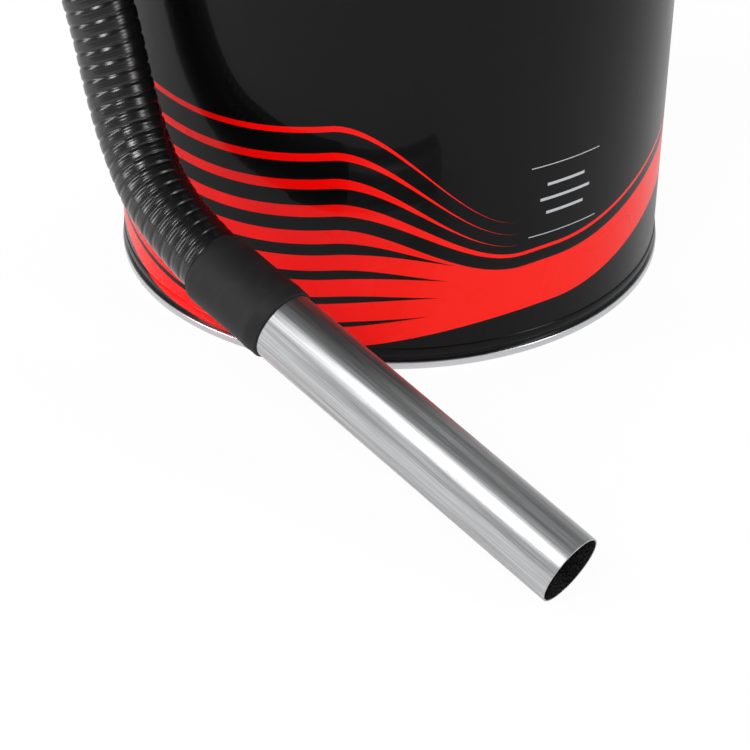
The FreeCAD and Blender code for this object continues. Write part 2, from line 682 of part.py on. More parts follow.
def makeHandle():
    half = "handleSpan / 2"
    top = "coverTop + handleRise"
    handle = padded([
        (f"0 - {half}", "coverTop"),
        (f"0 - {half} + handleSlant", top),
        (f"{half} - handleSlant", top),
        (half, "coverTop"),
        (f"{half} - handlePost", "coverTop"),
        (f"{half} - handlePost - handleNeck", f"{top} - handleBar"),
        (f"0 - {half} + handlePost + handleNeck", f"{top} - handleBar"),
        (f"0 - {half} + handlePost", "coverTop"),
    ], "handleDepth")
    depth = size("handleDepth")
    highest = size("coverTop") + size("handleRise")

    def outerCorner(edge):
        middle = edge.CenterOfMass
        return abs(edge.Length - depth) < 0.01 and middle.z > highest - 1

    def innerCorner(edge):
        middle = edge.CenterOfMass
        return abs(edge.Length - depth) < 0.01 and highest - 1 > middle.z > size("coverTop") + 5

    def longEdge(edge):
        middle = edge.CenterOfMass
        return abs(abs(middle.y) - depth / 2) < 0.01 and middle.z > size("coverTop") + 1

    rounded(handle, "handleBar * 0.9", outerCorner)
    rounded(handle, "handleBar * 0.5", innerCorner)
    rounded(handle, "handleRound", longEdge)
    sockets = drills(handlePlaces(), size("screwRadius"), size("coverTop") - 1, size("screwDeep") - 2)
    piece("carry_handle", cut(handle, sockets))
    sleeve = padded([
        ("0 - gripLength / 2", f"{top} - handleBar - gripThick"),
        ("gripLength / 2", f"{top} - handleBar - gripThick"),
        ("gripLength / 2", f"{top} + gripThick"),
        ("0 - gripLength / 2", f"{top} + gripThick"),
    ], "handleDepth + 2 * gripThick")
    long = size("gripLength")
    rounded(sleeve, "handleRound + gripThick", lambda edge: abs(edge.Length - long) < 0.01)
    piece("handle_grip", cut(sleeve, handle))
    # the handle's screws come up from inside the cover
    under = size("coverTop") - size("coverWall")
    screws = screwSet([(x, -y) for x, y in handlePlaces()], 0)
    doc.recompute()
    flipped = Placement(Vector(0, 0, under), Rotation(Vector(1, 0, 0), 180))
    piece("handle_screws", shaped(screws.Shape.copy(), flipped))
    doc.removeObject(screws.Name)


def makeSwitch():
    pivot = "coverTop - pivotDeep"
    wellWide = "switchWide - 2 * wellEdge"
    wellLong = "2 * (rockerHalf + wellGap)"
    body = box("switchWide", "switchLong", "switchDeep", y="0 - switchBack", z="coverTop - switchDeep")
    well = box(wellWide, wellLong, "wellDeep * 2", y="0 - switchBack", z="coverTop - wellDeep")
    pinHole = cylinder("rockerPin + pinGap", "switchWide - 2 * pinEdge", x="0 - switchWide / 2 + pinEdge",
                       y="0 - switchBack", z=pivot, turn=ALONG_X)
    terminals = [box("terminalLong / 10", "terminalLong * 0.75", "terminalLong", x=f"{sign} terminalApart / 2",
                     y="0 - switchBack", z="coverTop - switchDeep - terminalLong") for sign in ("0 -", "0 +")]
    piece("switch_body", fuse(cut(body, well, pinHole), *terminals))
    frame = box("switchWide + 2 * bezelEdge", "switchLong + 2 * bezelEdge", "bezelRise", y="0 - switchBack",
                z="coverTop")
    hole = box(wellWide, wellLong, "bezelRise", y="0 - switchBack", z="coverTop")
    piece("switch_bezel", cut(frame, hole))
    rocker = padded([
        ("0 - rockerHalf", "0"),
        ("0 - 3", "0 - 4"),
        ("3", "0 - 4"),
        ("rockerHalf", "0"),
        ("rockerHalf", "5.6"),
        ("0", "4.2"),
        ("0 - rockerHalf", "5.6"),
    ], f"{wellWide} - 2 * rockerGap", role="YZ_Plane")
    pin = cylinder("rockerPin", "switchWide - 2 * pinEdge - 2 * pinGap", x="0 - switchWide / 2 + pinEdge + pinGap",
                   turn=ALONG_X)
    whole = fuse(rocker, pin)
    bind(whole, Placement_Base_y="0 - switchBack", Placement_Base_z=pivot)
    whole.Placement = Placement(Vector(), Rotation(Vector(1, 0, 0), size("rockerTilt")))
    piece("switch_rocker", whole)


def makeGland():
    skin = cylinder("coverRadius", "coverTop")
    flange = cylinder("glandRadius + glandFlange", "glandFlange + glandIn", y="coverRadius - glandIn",
                      z="glandHigh", turn=ALONG_Y)
    neck = cylinder("glandRadius", "glandLong * 0.55", y="coverRadius", z="glandHigh", turn=ALONG_Y)
    tail = doc.addObject("Part::Cone", "taper")
    bind(tail, Radius1="glandRadius", Radius2="glandBore + 1.6", Height="glandLong * 0.45")
    place(tail, y="coverRadius + glandLong * 0.55", z="glandHigh", turn=ALONG_Y)
    core = cylinder("glandBore", "3 * glandLong", y="coverRadius - glandLong", z="glandHigh", turn=ALONG_Y)
    outside = cut(fuse(flange, neck, tail), skin)
    stem = cylinder("glandRadius * 0.7 - pinGap", "coverWall + 2 * glandIn", y="coverRadius - coverWall - glandIn",
                    z="glandHigh", turn=ALONG_Y)
    piece("cord_gland", cut(fuse(outside, stem), core))


def makePort():
    low = "shelfTop + portSeal"
    at = {"x": "portX", "y": "portY"}
    seal = tube("portFlange", "portBore", "portSeal", z="shelfTop", **at)
    sealHoles = drills(portPlaces(), size("screwRadius"), size("shelfTop") - 1, 6)
    piece("port_gasket", cut(seal, sealHoles))
    flange = cylinder("portFlange", "portFlangeThick", z=low, **at)
    riser = cylinder("elbowRadius", f"portHigh - ({low})", z=low, **at)
    ball = doc.addObject("Part::Sphere", "knee")
    bind(ball, Radius="elbowRadius")
    place(ball, "portX", "portY", "portHigh")
    arm = cylinder("elbowRadius", "elbowLong", "portX", "portY", "portHigh", turn=ALONG_Y)
    spigot = cylinder("spigotRadius", "elbowLong + spigotLong", "portX", "portY", "portHigh", turn=ALONG_Y)
    # the knee's underside stays above the seal
    below = cylinder("portFlange + elbowRadius", "elbowRadius", z=f"{low} - elbowRadius", **at)
    inKnee = doc.addObject("Part::Sphere", "knee")
    bind(inKnee, Radius="portBore")
    place(inKnee, "portX", "portY", "portHigh")
    upBore = cylinder("portBore", f"portHigh - ({low})", z=low, **at)
    outBore = cylinder("portBore", "elbowLong + spigotLong", "portX", "portY", "portHigh", turn=ALONG_Y)
    holes = drills(portPlaces(), size("screwRadius"), size("shelfTop") - 1, 10)
    piece("blow_port", cut(fuse(flange, riser, ball, arm, spigot), below, inKnee, upBore, outBore, holes))
    piece("port_screws", screwSet(portPlaces(), heightOf("shelfTop + portSeal + portFlangeThick")))


def makeConnector():
    start = "portY + elbowLong"
    reach = "spigotLong + 1 + hoseHeld"
    sleeve = revolved([
        ("spigotRadius + pinGap", "0"),
        ("connectorRadius - 1.5", "0"),
        ("connectorRadius", "1.5"),
        ("connectorRadius", f"{reach} - 2"),
        ("connectorRadius - 1.5", reach),
        ("hoseRadius + hoseFit + 0.5", reach),
        ("hoseRadius + hoseFit", f"{reach} - 2"),
        ("hoseRadius + hoseFit", "spigotLong + 0.5"),
        ("spigotRadius + pinGap", "spigotLong + 0.5"),
    ], turn=ALONG_Y, x="portX", y=start, z="portHigh")
    piece("hose_connector", sleeve)


def inNozzleFrame(distance):
    return tip - forward * distance


def makeNozzle():
    held = "nozzleRadius - nozzleSwage"
    pipe = fuse(tube("nozzleRadius", "nozzleRadius - nozzleWall", "nozzleShown"),
                tube(held, f"{held} - nozzleWall", "nozzleHeld", z="nozzleShown"))
    doc.recompute()
    piece("nozzle_tube", shaped(pipe.Shape.copy(), nozzleFrame))
    cuff = revolved([
        (f"{held} + pinGap", "0"),
        ("cuffRadius - cuffChamfer * 0.7", "0"),
        ("cuffRadius", "cuffChamfer"),
        ("cuffRadius", "cuffLong - 2 * cuffChamfer"),
        ("cuffRadius - cuffChamfer * 0.5", "cuffLong - cuffChamfer * 0.6"),
        ("cuffRadius - cuffChamfer", "cuffLong"),
        ("hoseRadius + 2 * hoseFit", "cuffLong"),
        ("hoseRadius + hoseFit", "cuffLong - 4"),
        ("hoseRadius + hoseFit", "cuffLong - hoseInCuff - 0.3"),
        (f"{held} + pinGap", "cuffLong - hoseInCuff - 0.3"),
    ])
    cuff.Placement = Placement(inNozzleFrame(size("nozzleShown")), nozzleFrame.Rotation)
    for axis in ("x", "y", "z"):
        cuff.setExpression(f"Placement.Base.{axis}", None)
    piece("nozzle_cuff", cuff)


def hoseRoute():
    # from the blow port round the shelf of the head, down the left side and into the cuff
    start = Vector(size("portX"), size("portY") + size("elbowLong") + size("spigotLong") + 1, size("portHigh"))
    end = inNozzleFrame(size("nozzleShown") + size("cuffLong") - size("hoseInCuff"))
    chosen = [(128, 31, 367), (101, 89, 365), (53, 130, 364), (-8, 146, 364), (-70, 135, 364), (-122, 99, 366),
              (-161, 48, 370), (-182, -11, 355), (-182, -65, 319), (-166, -102, 265), (-142, -110, 193),
              (-129, -133, 125)]
    last = end - forward * 58
    return [start] + [Vector(*point) for point in chosen] + [last, end]


def roundedPath(points):
    # straight runs joined by tangent arcs, each as large as its two runs allow
    edges = []
    radii = []
    here = points[0]
    for before, corner, after in zip(points, points[1:], points[2:]):
        arriving = (corner - before).normalize()
        leaving = (after - corner).normalize()
        turn = arriving.getAngle(leaving)
        reach = 0.45 * min(before.distanceToPoint(corner), corner.distanceToPoint(after))
        radius = reach / math.tan(turn / 2)
        radii.append(radius)
        start = corner - arriving * reach
        finish = corner + leaving * reach
        inward = (leaving - arriving).normalize()
        middle = corner + inward * (radius / math.cos(turn / 2) - radius)
        edges.append(Part.LineSegment(here, start).toShape())
        edges.append(Part.Arc(start, middle, finish).toShape())
        here = finish
    edges.append(Part.LineSegment(here, points[-1]).toShape())
    return Part.Wire(edges), radii


def ringsAlong(path, stations):
    # circles square to the path, each with its X axis carried along without twist
    edges = path.OrderedEdges
    ends = []
    total = 0.0
    for edge in edges:
        ends.append((total, total + edge.Length, edge))
        total += edge.Length
    across = None
    circles = []
    for distance, radius in stations:
        for low, high, edge in ends:
            if distance <= high or edge is edges[-1]:
                break
        where = edge.getParameterByLength(min(max(distance - low, 0), edge.Length))
        along = edge.tangentAt(where).normalize()
        if across is None:
            across = along.cross(Vector(0, 0, 1)).normalize()
        across = (across - along * across.dot(along)).normalize()
        circle = Part.Circle(edge.valueAt(where), along, radius)
        circle.XAxis = across
        circles.append(Part.Wire(circle.toShape()))
    return circles, total


def makeHose():
    path, radii = roundedPath(hoseRoute())
    print("hose bend radii", [round(radius) for radius in radii])
    length = path.Length
    pitch = size("ribPitch")
    ribs = int(length // pitch)
    spare = (length - ribs * pitch) / 2
    crest = size("hoseRadius")
    groove = size("hoseGroove")
    stations = [(0.0, groove)]
    for rib in range(ribs):
        low = spare + rib * pitch
        stations += [(low + 0.06 * pitch, groove), (low + 0.2 * pitch, crest - 0.12), (low + 0.5 * pitch, crest),
                     (low + 0.82 * pitch, crest - 0.12)]
    stations.append((length, groove))
    outer, total = ringsAlong(path, stations)
    skin = Part.makeLoft(outer, False, True)
    inner, total = ringsAlong(path, [(0.0, size("hoseBore")), (length, size("hoseBore"))])
    lining = path.makePipeShell([inner[0]], False, False)
    ends = []
    for rim, distance in ((outer[0], 0.0), (outer[-1], length)):
        bore, total = ringsAlong(path, [(distance, size("hoseBore"))])
        ends.append(Part.makeFace([rim, bore[0]], "Part::FaceMakerBullseye"))
    sewn = Part.makeCompound(skin.Faces + lining.Faces + ends)
    sewn.sewShape()
    shell = Part.Shell(sewn.Faces)
    solid = Part.Solid(shell)
    solid.fixTolerance(1e-4)
    if solid.Volume < 0:
        solid.reverse()
    expected = math.pi * ((crest - 0.2) ** 2 - size("hoseBore") ** 2) * length
    print("hose length", round(length, 1), "ribs", ribs, "volume", round(solid.Volume), "about", round(expected))
    piece("hose", shaped(solid))


def latchFrame(side):
    # X outwards from the drum, Y along its surface, Z up
    return Placement(Vector(), Rotation(Vector(0, 0, 1), 0 if side == RIGHT else 180))


def hookPlaces():
    # rivets of a hook, as (along the surface, height)
    height = size("hookTop") - size("hookRivetDown")
    return [(side * size("hookHalf") * 0.55, height) for side in (LEFT, RIGHT)]


def platePlaces():
    # rivets of a latch base
    top = size("latchHigh") + size("latchTall") / 2 - 5
    return [(-size("latchWide") * 0.3, top), (size("latchWide") * 0.3, top),
            (0, size("latchHigh") - size("latchTall") / 2 + 5)]


def outwardRod(radius, inner, outer, along, height):
    return Part.makeCylinder(radius, outer - inner, Vector(inner, along, height), Vector(1, 0, 0))


def hookDrills():
    rods = []
    for side in (LEFT, RIGHT):
        for along, height in hookPlaces():
            rod = outwardRod(size("rivetRadius"), size("baseRadius") - 8, size("baseRadius") + 8, along, height)
            rod.Placement = latchFrame(side)
            rods.append(rod)
    return shaped(Part.makeCompound(rods))


def latchBase():
    sheetThick = size("latchSheet")
    wide = size("latchWide") / 2
    low = size("latchHigh") - size("latchTall") / 2
    high = low + size("latchTall")
    skin = Part.makeCylinder(size("drumRadius"), size("drumTop"))
    plate = Part.makeCylinder(size("drumRadius") + sheetThick, high - low, Vector(0, 0, low)).cut(skin)
    plate = plate.common(block((0, -wide, low), (size("baseRadius"), wide, high)))
    pivot = size("pivotOut")
    ears = []
    for side in (-1, 1):
        near = side * (size("earHalf") - sheetThick)
        far = side * size("earHalf")
        # the ears end at their pin's height, so the lever's back clears them as it swings over
        ear = block((size("drumRadius") - size("earRound"), min(near, far), size("latchHigh") - size("earDrop")),
                    (pivot, max(near, far), size("latchHigh") + size("earRound")))
        end = Part.makeCylinder(size("earRound"), sheetThick, Vector(pivot, min(near, far), size("latchHigh")),
                                Vector(0, 1, 0))
        ears.append(ear.fuse(end).cut(skin))
    pin = Part.makeCylinder(size("latchPin"), 2 * size("cheekHalf") + 1,
                            Vector(pivot, -size("cheekHalf") - 0.5, size("latchHigh")), Vector(0, 1, 0))
    holes = [outwardRod(size("rivetRadius"), size("drumRadius") - 6, size("drumRadius") + 6, a, h)
             for a, h in platePlaces()]
    return plate.fuse(ears).cut(pin).cut(Part.makeCompound(holes)).removeSplitter(), pin


def latchLever():
    sheetThick = size("latchSheet")
    pivot = size("pivotOut")
    middle = size("latchHigh")
    half = size("cheekHalf")
    back = pivot + size("leverOut")
    plate = block((back, -half, middle - size("leverDrop")), (back + sheetThick, half, middle + size("leverRise")))
    curl = Part.makeCylinder(size("curlRadius"), 2 * half,
                             Vector(back + sheetThick * 0.8, -half, middle - size("leverDrop")), Vector(0, 1, 0))
    cheeks = []
    for side in (-1, 1):
        near = side * (half - sheetThick)
        far = side * half
        flat = block((pivot - size("bailIn") - 3.2, min(near, far), middle - size("bailDown") - 3.5),
                     (back, max(near, far), middle + size("leverRise") - 1))
        cheeks.append(flat)
    whole = plate.fuse(cheeks).fuse(curl)
    pinHole = Part.makeCylinder(size("latchPin") + size("pinGap"), 60, Vector(pivot, -30, middle), Vector(0, 1, 0))
    bailHole = Part.makeCylinder(size("bailWire") + size("pinGap"), 60,
                                 Vector(pivot - size("bailIn"), -30, middle - size("bailDown")), Vector(0, 1, 0))
    return whole.cut(pinHole).cut(bailHole).removeSplitter()


def latchBail():
    pivot = Vector(size("pivotOut") - size("bailIn"), 0, size("latchHigh") - size("bailDown"))
    rise = math.sqrt(size("bailLong") ** 2 - size("bailLean") ** 2)
    top = pivot + Vector(size("bailLean"), 0, rise)
    half = size("bailHalf")
    foot = half - size("bailFoot")
    bend = size("bailBend")
    low = size("footBend")
    # how far the middle of a quarter arc lies from its corner, as a share of its radius
    inset = 1 - math.sqrt(0.5)
    up = (top - pivot).normalize()
    out = Vector(0, 1, 0)
    wire = size("bailWire")
    edges = []
    for sign in (-1, 1):
        inner = pivot + out * (sign * foot)
        corner = pivot + out * (sign * half)
        first = corner - out * (sign * low)
        second = corner + up * low
        knee = corner - out * (sign * low * inset) + up * (low * inset)
        high = top + out * (sign * half)
        third = high - up * bend
        fourth = high - out * (sign * bend)
        shoulder = high - up * (bend * inset) - out * (sign * bend * inset)
        run = [Part.LineSegment(inner, first).toShape(), Part.Arc(first, knee, second).toShape(),
               Part.LineSegment(second, third).toShape(), Part.Arc(third, shoulder, fourth).toShape()]
        edges.append(run)
    left, right = edges
    joined = left + [Part.LineSegment(left[-1].Vertexes[-1].Point, right[-1].Vertexes[-1].Point).toShape()]
    joined += right
    path = Part.Wire(Part.sortEdges(joined)[0])
    start = pivot - out * foot
    section = Part.Wire(Part.Circle(start, out, wire).toShape())
    return path.makePipeShell([section], True, False)


def latchHook():
    sheetThick = size("latchSheet")
    half = size("hookHalf")
    inner = size("baseRadius")
    rise = math.sqrt(size("bailLong") ** 2 - size("bailLean") ** 2)
    wireHigh = size("latchHigh") - size("bailDown") + rise
    floor = wireHigh - size("hookFloor")
    reach = inner + sheetThick + size("hookReach")
    skin = Part.makeCylinder(inner, size("shelfTop"))
    plate = block((inner - 2, -half, floor - sheetThick), (inner + sheetThick, half, size("hookTop")))
    shelf = block((inner - 2, -half, floor - sheetThick), (reach + sheetThick, half, floor))
    lip = block((reach, -half, floor - sheetThick), (reach + sheetThick, half, floor + size("hookLip")))
    whole = plate.fuse([shelf, lip]).cut(skin)
    holes = [outwardRod(size("rivetRadius"), inner - 6, inner + 6, a, z) for a, z in hookPlaces()]
    return whole.cut(Part.makeCompound(holes)).removeSplitter()


def rivetAt(face, deep, along, height):
    head = outwardRod(size("rivetHead"), face, face + size("rivetRise"), along, height)
    shank = outwardRod(size("rivetRadius"), face - deep, face, along, height)
    return head.fuse(shank)


def makeLatches():
    pins = []
    rivets = []
    base, pin = latchBase()
    forms = {"latch_base": base, "latch_lever": latchLever(), "latch_bail": latchBail(), "latch_hook": latchHook()}
    hookFace = size("baseRadius") + size("latchSheet")
    plateFace = size("drumRadius") + size("latchSheet")
    for side, word in ((LEFT, "left"), (RIGHT, "right")):
        frame = latchFrame(side)
        for label, form in forms.items():
            piece(f"{label}_{word}", shaped(form.copy(), frame))
        copies = [pin.copy()]
        pins += copies
        fixed = [rivetAt(hookFace, size("latchSheet") + size("baseWall"), a, z) for a, z in hookPlaces()]
        fixed += [rivetAt(plateFace, size("latchSheet") + size("drumWall"), a, z) for a, z in platePlaces()]
        for form in copies + fixed:
            form.Placement = frame
        rivets += fixed
    piece("latch_pins", shaped(Part.makeCompound(pins)))
    piece("latch_rivets", shaped(Part.makeCompound(rivets)))
    drumHoles = []
    for side in (LEFT, RIGHT):
        for along, height in platePlaces():
            rod = outwardRod(size("rivetRadius"), size("drumRadius") - 6, size("drumRadius") + 6, along, height)
            rod.Placement = latchFrame(side)
            drumHoles.append(rod)
    piece("drum_shell", cut(pieces["drum_shell"], shaped(Part.makeCompound(drumHoles))))


def bladeRing(count, inner, outer, low, high, lean):
    # curved blades round the axis, each a bent sheet
    blades = []
    thick = size("bladeThick")
    for i in range(int(count)):
        start = Vector(inner, 0, low)
        finish = Vector(*polar(outer, 0, lean), low)
        bulge = Vector(*polar((inner + outer) / 2, 0, lean * 0.32), low)
        arc = Part.Arc(start, bulge, finish).toShape()
        strip = arc.extrude(Vector(0, 0, high - low))
        normal = Vector(*polar(0, thick, lean * 0.5), 0)
        blade = strip.extrude(normal)
        blade.rotate(Vector(), Vector(0, 0, 1), 360 * i / int(count))
        blades.append(blade)
    return blades


def makeFan():
    low = heightOf(casingFloor) + size("fanLift")
    high = low + size("fanTall")
    thick = size("bladeThick")
    shaftHole = Part.makeCylinder(size("shaftRadius"), 60, Vector(0, 0, low - 20))
    lower = Part.makeCylinder(size("fanRadius"), thick, Vector(0, 0, low))
    lower = lower.cut(Part.makeCylinder(size("eyeRadius"), thick, Vector(0, 0, low)))
    upper = Part.makeCylinder(size("fanRadius"), thick, Vector(0, 0, high - thick))
    hub = Part.makeCylinder(size("hubRadius"), size("fanTall"), Vector(0, 0, low))
    blades = bladeRing(size("fanBlades"), size("eyeRadius") * 0.8, size("fanRadius") - 0.5, low + thick * 0.5,
                       high - thick * 0.5, -38)
    wheel = upper.fuse([lower, hub] + blades).cut(shaftHole)
    piece("fan_wheel", shaped(wheel))
    nut = Part.makePolygon([Vector(*polar(size("nutRadius"), 0, 60 * i), low - size("nutTall")) for i in range(7)])
    nut = Part.Face(nut).extrude(Vector(0, 0, size("nutTall"))).cut(shaftHole)
    piece("fan_nut", shaped(nut))
    guideLow = heightOf(casingFloor) + size("guideLift")
    wall = size("casingRadius") - size("casingWall")
    disc = Part.makeCylinder(wall, size("guideThick"), Vector(0, 0, guideLow))
    vanes = bladeRing(size("guideVanes"), size("guideBore") + 8, wall - 3, guideLow + size("guideThick") - 0.5,
                      guideLow + size("guideThick") + size("guideTall"), 40)
    centre = Part.makeCylinder(size("guideBore"), 60, Vector(0, 0, guideLow - 10))
    piece("air_guide", shaped(disc.fuse(vanes).cut(centre)))
    casing = revolved([
        ("eyeRadius", casingLow),
        ("casingRadius", casingLow),
        ("casingRadius", casingHigh),
        ("casingRadius - casingWall", casingHigh),
        ("casingRadius - casingWall", casingFloor),
        ("eyeRadius", casingFloor),
    ])
    piece("fan_casing", casing)
    piece("motor_cushion", tube("cushionOuter", "cushionInner", "cushionThick", z=plateHigh))


def makeMotor():
    lowPlate = cylinder("casingRadius", "bracketThick", z=casingHigh)
    seatLow = cylinder("bearingOuter + bearingSeat", "bearingTall", z=casingHigh)
    bar = box("2 * postSpread + 2 * postRadius", "24", "bracketThick", z=bracketHigh)
    seatHigh = cylinder("bearingOuter + bearingSeat", "bearingTall", z=bracketHigh)
    posts = [cylinder("postRadius", "postTall + bracketThick", x=f"{sign} postSpread", z=casingHigh)
             for sign in ("0 -", "0 +")]
    axisHole = cylinder("bearingOuter", "postTall * 3", z=f"{casingHigh} - postTall")
    windows = shaped(Part.makeCompound([Part.makeCylinder(13, 20, Vector(x, y, heightOf(casingHigh) - 5))
                                        for x, y in around(4, 38, 45)]))
    piece("motor_bracket", cut(fuse(lowPlate, seatLow, bar, seatHigh, *posts), axisHole, windows))
    for label, height in (("bearing_lower", casingHigh), ("bearing_upper", bracketHigh)):
        piece(label, tube("bearingOuter", "shaftRadius + pinGap", "bearingTall", z=height))
    reach = "postSpread - postRadius"
    core = box(f"2 * ({reach})", "2 * statorHalf", "statorTall", z="statorLow")
    bore = cylinder("statorBore", "statorTall", z="statorLow")
    pockets = [box("coilWide + 2", "6", "statorTall", y=y, z="statorLow") for y in ("0 - statorBore - 6",
                                                                                 "statorBore + 6")]
    piece("stator_core", cut(core, bore, *pockets))
    ends = []
    for y in ("0 - statorBore - coilDeep / 2 - 1", "statorBore + coilDeep / 2 + 1"):
        for z in ("statorLow - coilTall", "statorLow + statorTall"):
            ends.append(box("coilWide", "coilDeep", "coilTall", y=y, z=z))
    piece("field_coils", group(*ends))
    radius = size("statorBore") - size("rotorGap")
    low = size("statorLow")
    tall = size("statorTall")
    shaftHole = Part.makeCylinder(size("shaftRadius"), 200, Vector(0, 0, low - 60))
    slots = Part.makeCompound([Part.makeCylinder(size("slotRadius"), tall + 2, Vector(x, y, low - 1))
                               for x, y in around(size("slotCount"), radius)])
    core = Part.makeCylinder(radius, tall, Vector(0, 0, low)).cut(slots)
    windings = Part.makeCylinder(radius * 0.78, tall + 9, Vector(0, 0, low - 4.5))
    piece("armature", shaped(core.fuse(windings).cut(shaftHole)))
    bars = Part.makeCompound([
        block((size("commRadius") - 1, -0.25, size("commLow") - 1), (size("commRadius") + 1, 0.25, size("commLow") + 40))
        .rotated(Vector(), Vector(0, 0, 1), 360 * i / size("commBars")) for i in range(int(size("commBars")))])
    drum = Part.makeCylinder(size("commRadius"), size("commTall"), Vector(0, 0, size("commLow")))
    piece("commutator", shaped(drum.cut(bars).cut(shaftHole)))
    shaftLow = f"{casingFloor} + fanLift - nutTall - 2"
    piece("motor_shaft", cylinder("shaftRadius", f"coolerLow + coolerTall + 3 - ({shaftLow})", z=shaftLow))
    middle = "commLow + commTall / 2"
    holders = []
    brushes = []
    for sign in (-1, 1):
        face = "commRadius + brushGap"
        outer = "postSpread - postRadius"
        holders.append(cut(
            box(f"{outer} - ({face}) - 3", "2 * holderHalf", "2 * holderHalf",
                x=f"{sign} * ({outer} + {face} + 3) / 2", z=f"{middle} - holderHalf"),
            box("brushLong + 20", "2 * brushHalf", "2 * brushHalf",
                x=f"{sign} * ({face} + brushLong / 2 - 10)", z=f"{middle} - brushHalf")))
        brushes.append(box("brushLong", "2 * brushHalf", "2 * brushHalf", x=f"{sign} * ({face} + brushLong / 2)",
                           z=f"{middle} - brushHalf"))
    piece("brush_holders", group(*holders))
    piece("brushes", group(*brushes))
    thick = size("bladeThick") * 1.5
    coolLow = size("coolerLow")
    disc = Part.makeCylinder(size("coolerRadius"), thick, Vector(0, 0, coolLow))
    hub = Part.makeCylinder(size("hubRadius"), size("coolerTall"), Vector(0, 0, coolLow))
    blades = bladeRing(size("coolerBlades"), size("hubRadius") - 1, size("coolerRadius") - 0.5, coolLow + 0.5,
                       coolLow + size("coolerTall"), 20)
    piece("cooling_fan", shaped(disc.fuse([hub] + blades).cut(
        Part.makeCylinder(size("shaftRadius"), 60, Vector(0, 0, coolLow - 20)))))
    piece("capacitor", cylinder("capRadius", "capTall", x="0 - capBack", z="shelfTop"))


def makeFilter():
    top = heightOf(plateLow)
    low = top - size("cageTall")
    under = Vector(0, 0, top - size("ringTall"))
    ring = Part.makeCylinder(size("cageRadius") + size("ringOut"), size("ringTall"), under)
    ring = ring.cut(Part.makeCylinder(size("cageRadius") - size("ringIn"), size("ringTall"), under))
    disc = Part.makeCylinder(size("cageRadius"), size("ringTall"), Vector(0, 0, low))
    rods = [Part.makeCylinder(size("rodRadius"), size("cageTall"), Vector(x, y, low))
            for x, y in around(size("cageRods"), size("cageRadius") - size("rodIn"))]
    stud = Part.makeCylinder(size("studRadius"), size("studLong"), Vector(0, 0, low - size("studLong")))
    piece("filter_cage", shaped(ring.fuse([disc, stud] + rods).removeSplitter()))
    capTop = low - size("ringTall")
    corners = []
    for i in range(int(size("pleatCount")) * 2):
        radius = size("pleatOuter") if i % 2 == 0 else size("pleatInner")
        corners.append(Vector(*polar(radius, 0, 180 * i / size("pleatCount")), capTop))
    star = Part.Face(Part.makePolygon(corners + corners[:1])).extrude(Vector(0, 0, top - capTop))
    star = star.cut(Part.makeCylinder(size("pleatBore"), top - capTop, Vector(0, 0, capTop)))
    piece("filter_cartridge", shaped(star))
    capHeight = f"{plateLow} - cageTall - ringTall - capDiscThick"
    piece("filter_cap", tube("pleatOuter + capDiscEdge", "studRadius + pinGap", "capDiscThick", z=capHeight))
    nutTop = capTop - size("capDiscThick")
    hubTall = size("wingTall") - 2 * size("wingDown")
    hub = Part.makeCylinder(size("wingHub"), hubTall, Vector(0, 0, nutTop - hubTall))
    wingTop = nutTop - size("wingDown")
    half = size("wingThick") / 2
    wings = []
    for near, far in ((-size("wingLong"), -size("studRadius")), (size("studRadius"), size("wingLong"))):
        wings.append(block((near, -half, wingTop - size("wingTall")), (far, half, wingTop)))
    hole = Part.makeCylinder(size("studRadius"), 2 * size("studLong"), Vector(0, 0, nutTop - size("studLong")))
    piece("filter_nut", shaped(hub.fuse(wings).cut(hole)))


makeDrum()
makeIntake()
makePlate()
makeShelf()
makeCover()
makeHandle()
makeSwitch()
makeGland()
makePort()
makeConnector()
makeNozzle()
makeHose()
makeLatches()
makeFan()
makeMotor()
makeFilter()

doc.recompute()

for item in doc.Objects:
    for state in item.State:
        if state in ("Invalid", "Error"):
            raise RuntimeError(f"{item.Label} did not build: {item.State}")
for label, item in pieces.items():
    if item.Shape.isNull() or not item.Shape.isValid():
        raise RuntimeError(f"{label} has no valid shape")

os.makedirs("parts", exist_ok=True)
for label, item in pieces.items():
    item.Shape.exportStep(os.path.join("parts", label + ".step"))
    print(label, "solids", len(item.Shape.Solids), "volume", round(item.Shape.Volume))
print("pieces", len(pieces))
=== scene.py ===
import bmesh
import bpy
import json
import math
from mathutils import Matrix, Vector


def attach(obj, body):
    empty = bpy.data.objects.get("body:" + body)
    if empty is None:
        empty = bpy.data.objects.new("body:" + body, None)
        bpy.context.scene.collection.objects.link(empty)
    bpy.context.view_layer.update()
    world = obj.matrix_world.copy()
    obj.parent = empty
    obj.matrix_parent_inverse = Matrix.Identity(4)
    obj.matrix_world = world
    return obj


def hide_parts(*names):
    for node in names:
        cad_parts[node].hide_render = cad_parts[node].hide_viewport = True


# Canister blower: a printed steel drum on a bright rim, motor head, ribbed hose and metal nozzle.

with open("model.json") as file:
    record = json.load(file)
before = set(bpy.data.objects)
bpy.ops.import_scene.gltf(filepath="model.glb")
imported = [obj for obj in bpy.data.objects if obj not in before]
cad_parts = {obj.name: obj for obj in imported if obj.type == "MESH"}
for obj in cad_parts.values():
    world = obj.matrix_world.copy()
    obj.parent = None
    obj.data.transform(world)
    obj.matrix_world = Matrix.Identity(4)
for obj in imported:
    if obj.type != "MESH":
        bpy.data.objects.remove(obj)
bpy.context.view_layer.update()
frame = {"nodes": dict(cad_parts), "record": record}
mm = 0.001
riding = {node: body for body, nodes in frame["record"]["behaviour"]["bodies"].items() for node in nodes}
slotOf = {part["node"]: part["material_slot"] for part in frame["record"]["subparts"]}
dressed = set()

# points nearer than this, in metres, are one; edges that turn by more than this angle get a bevel
merging = 0.000002
bevelFrom = math.radians(40)

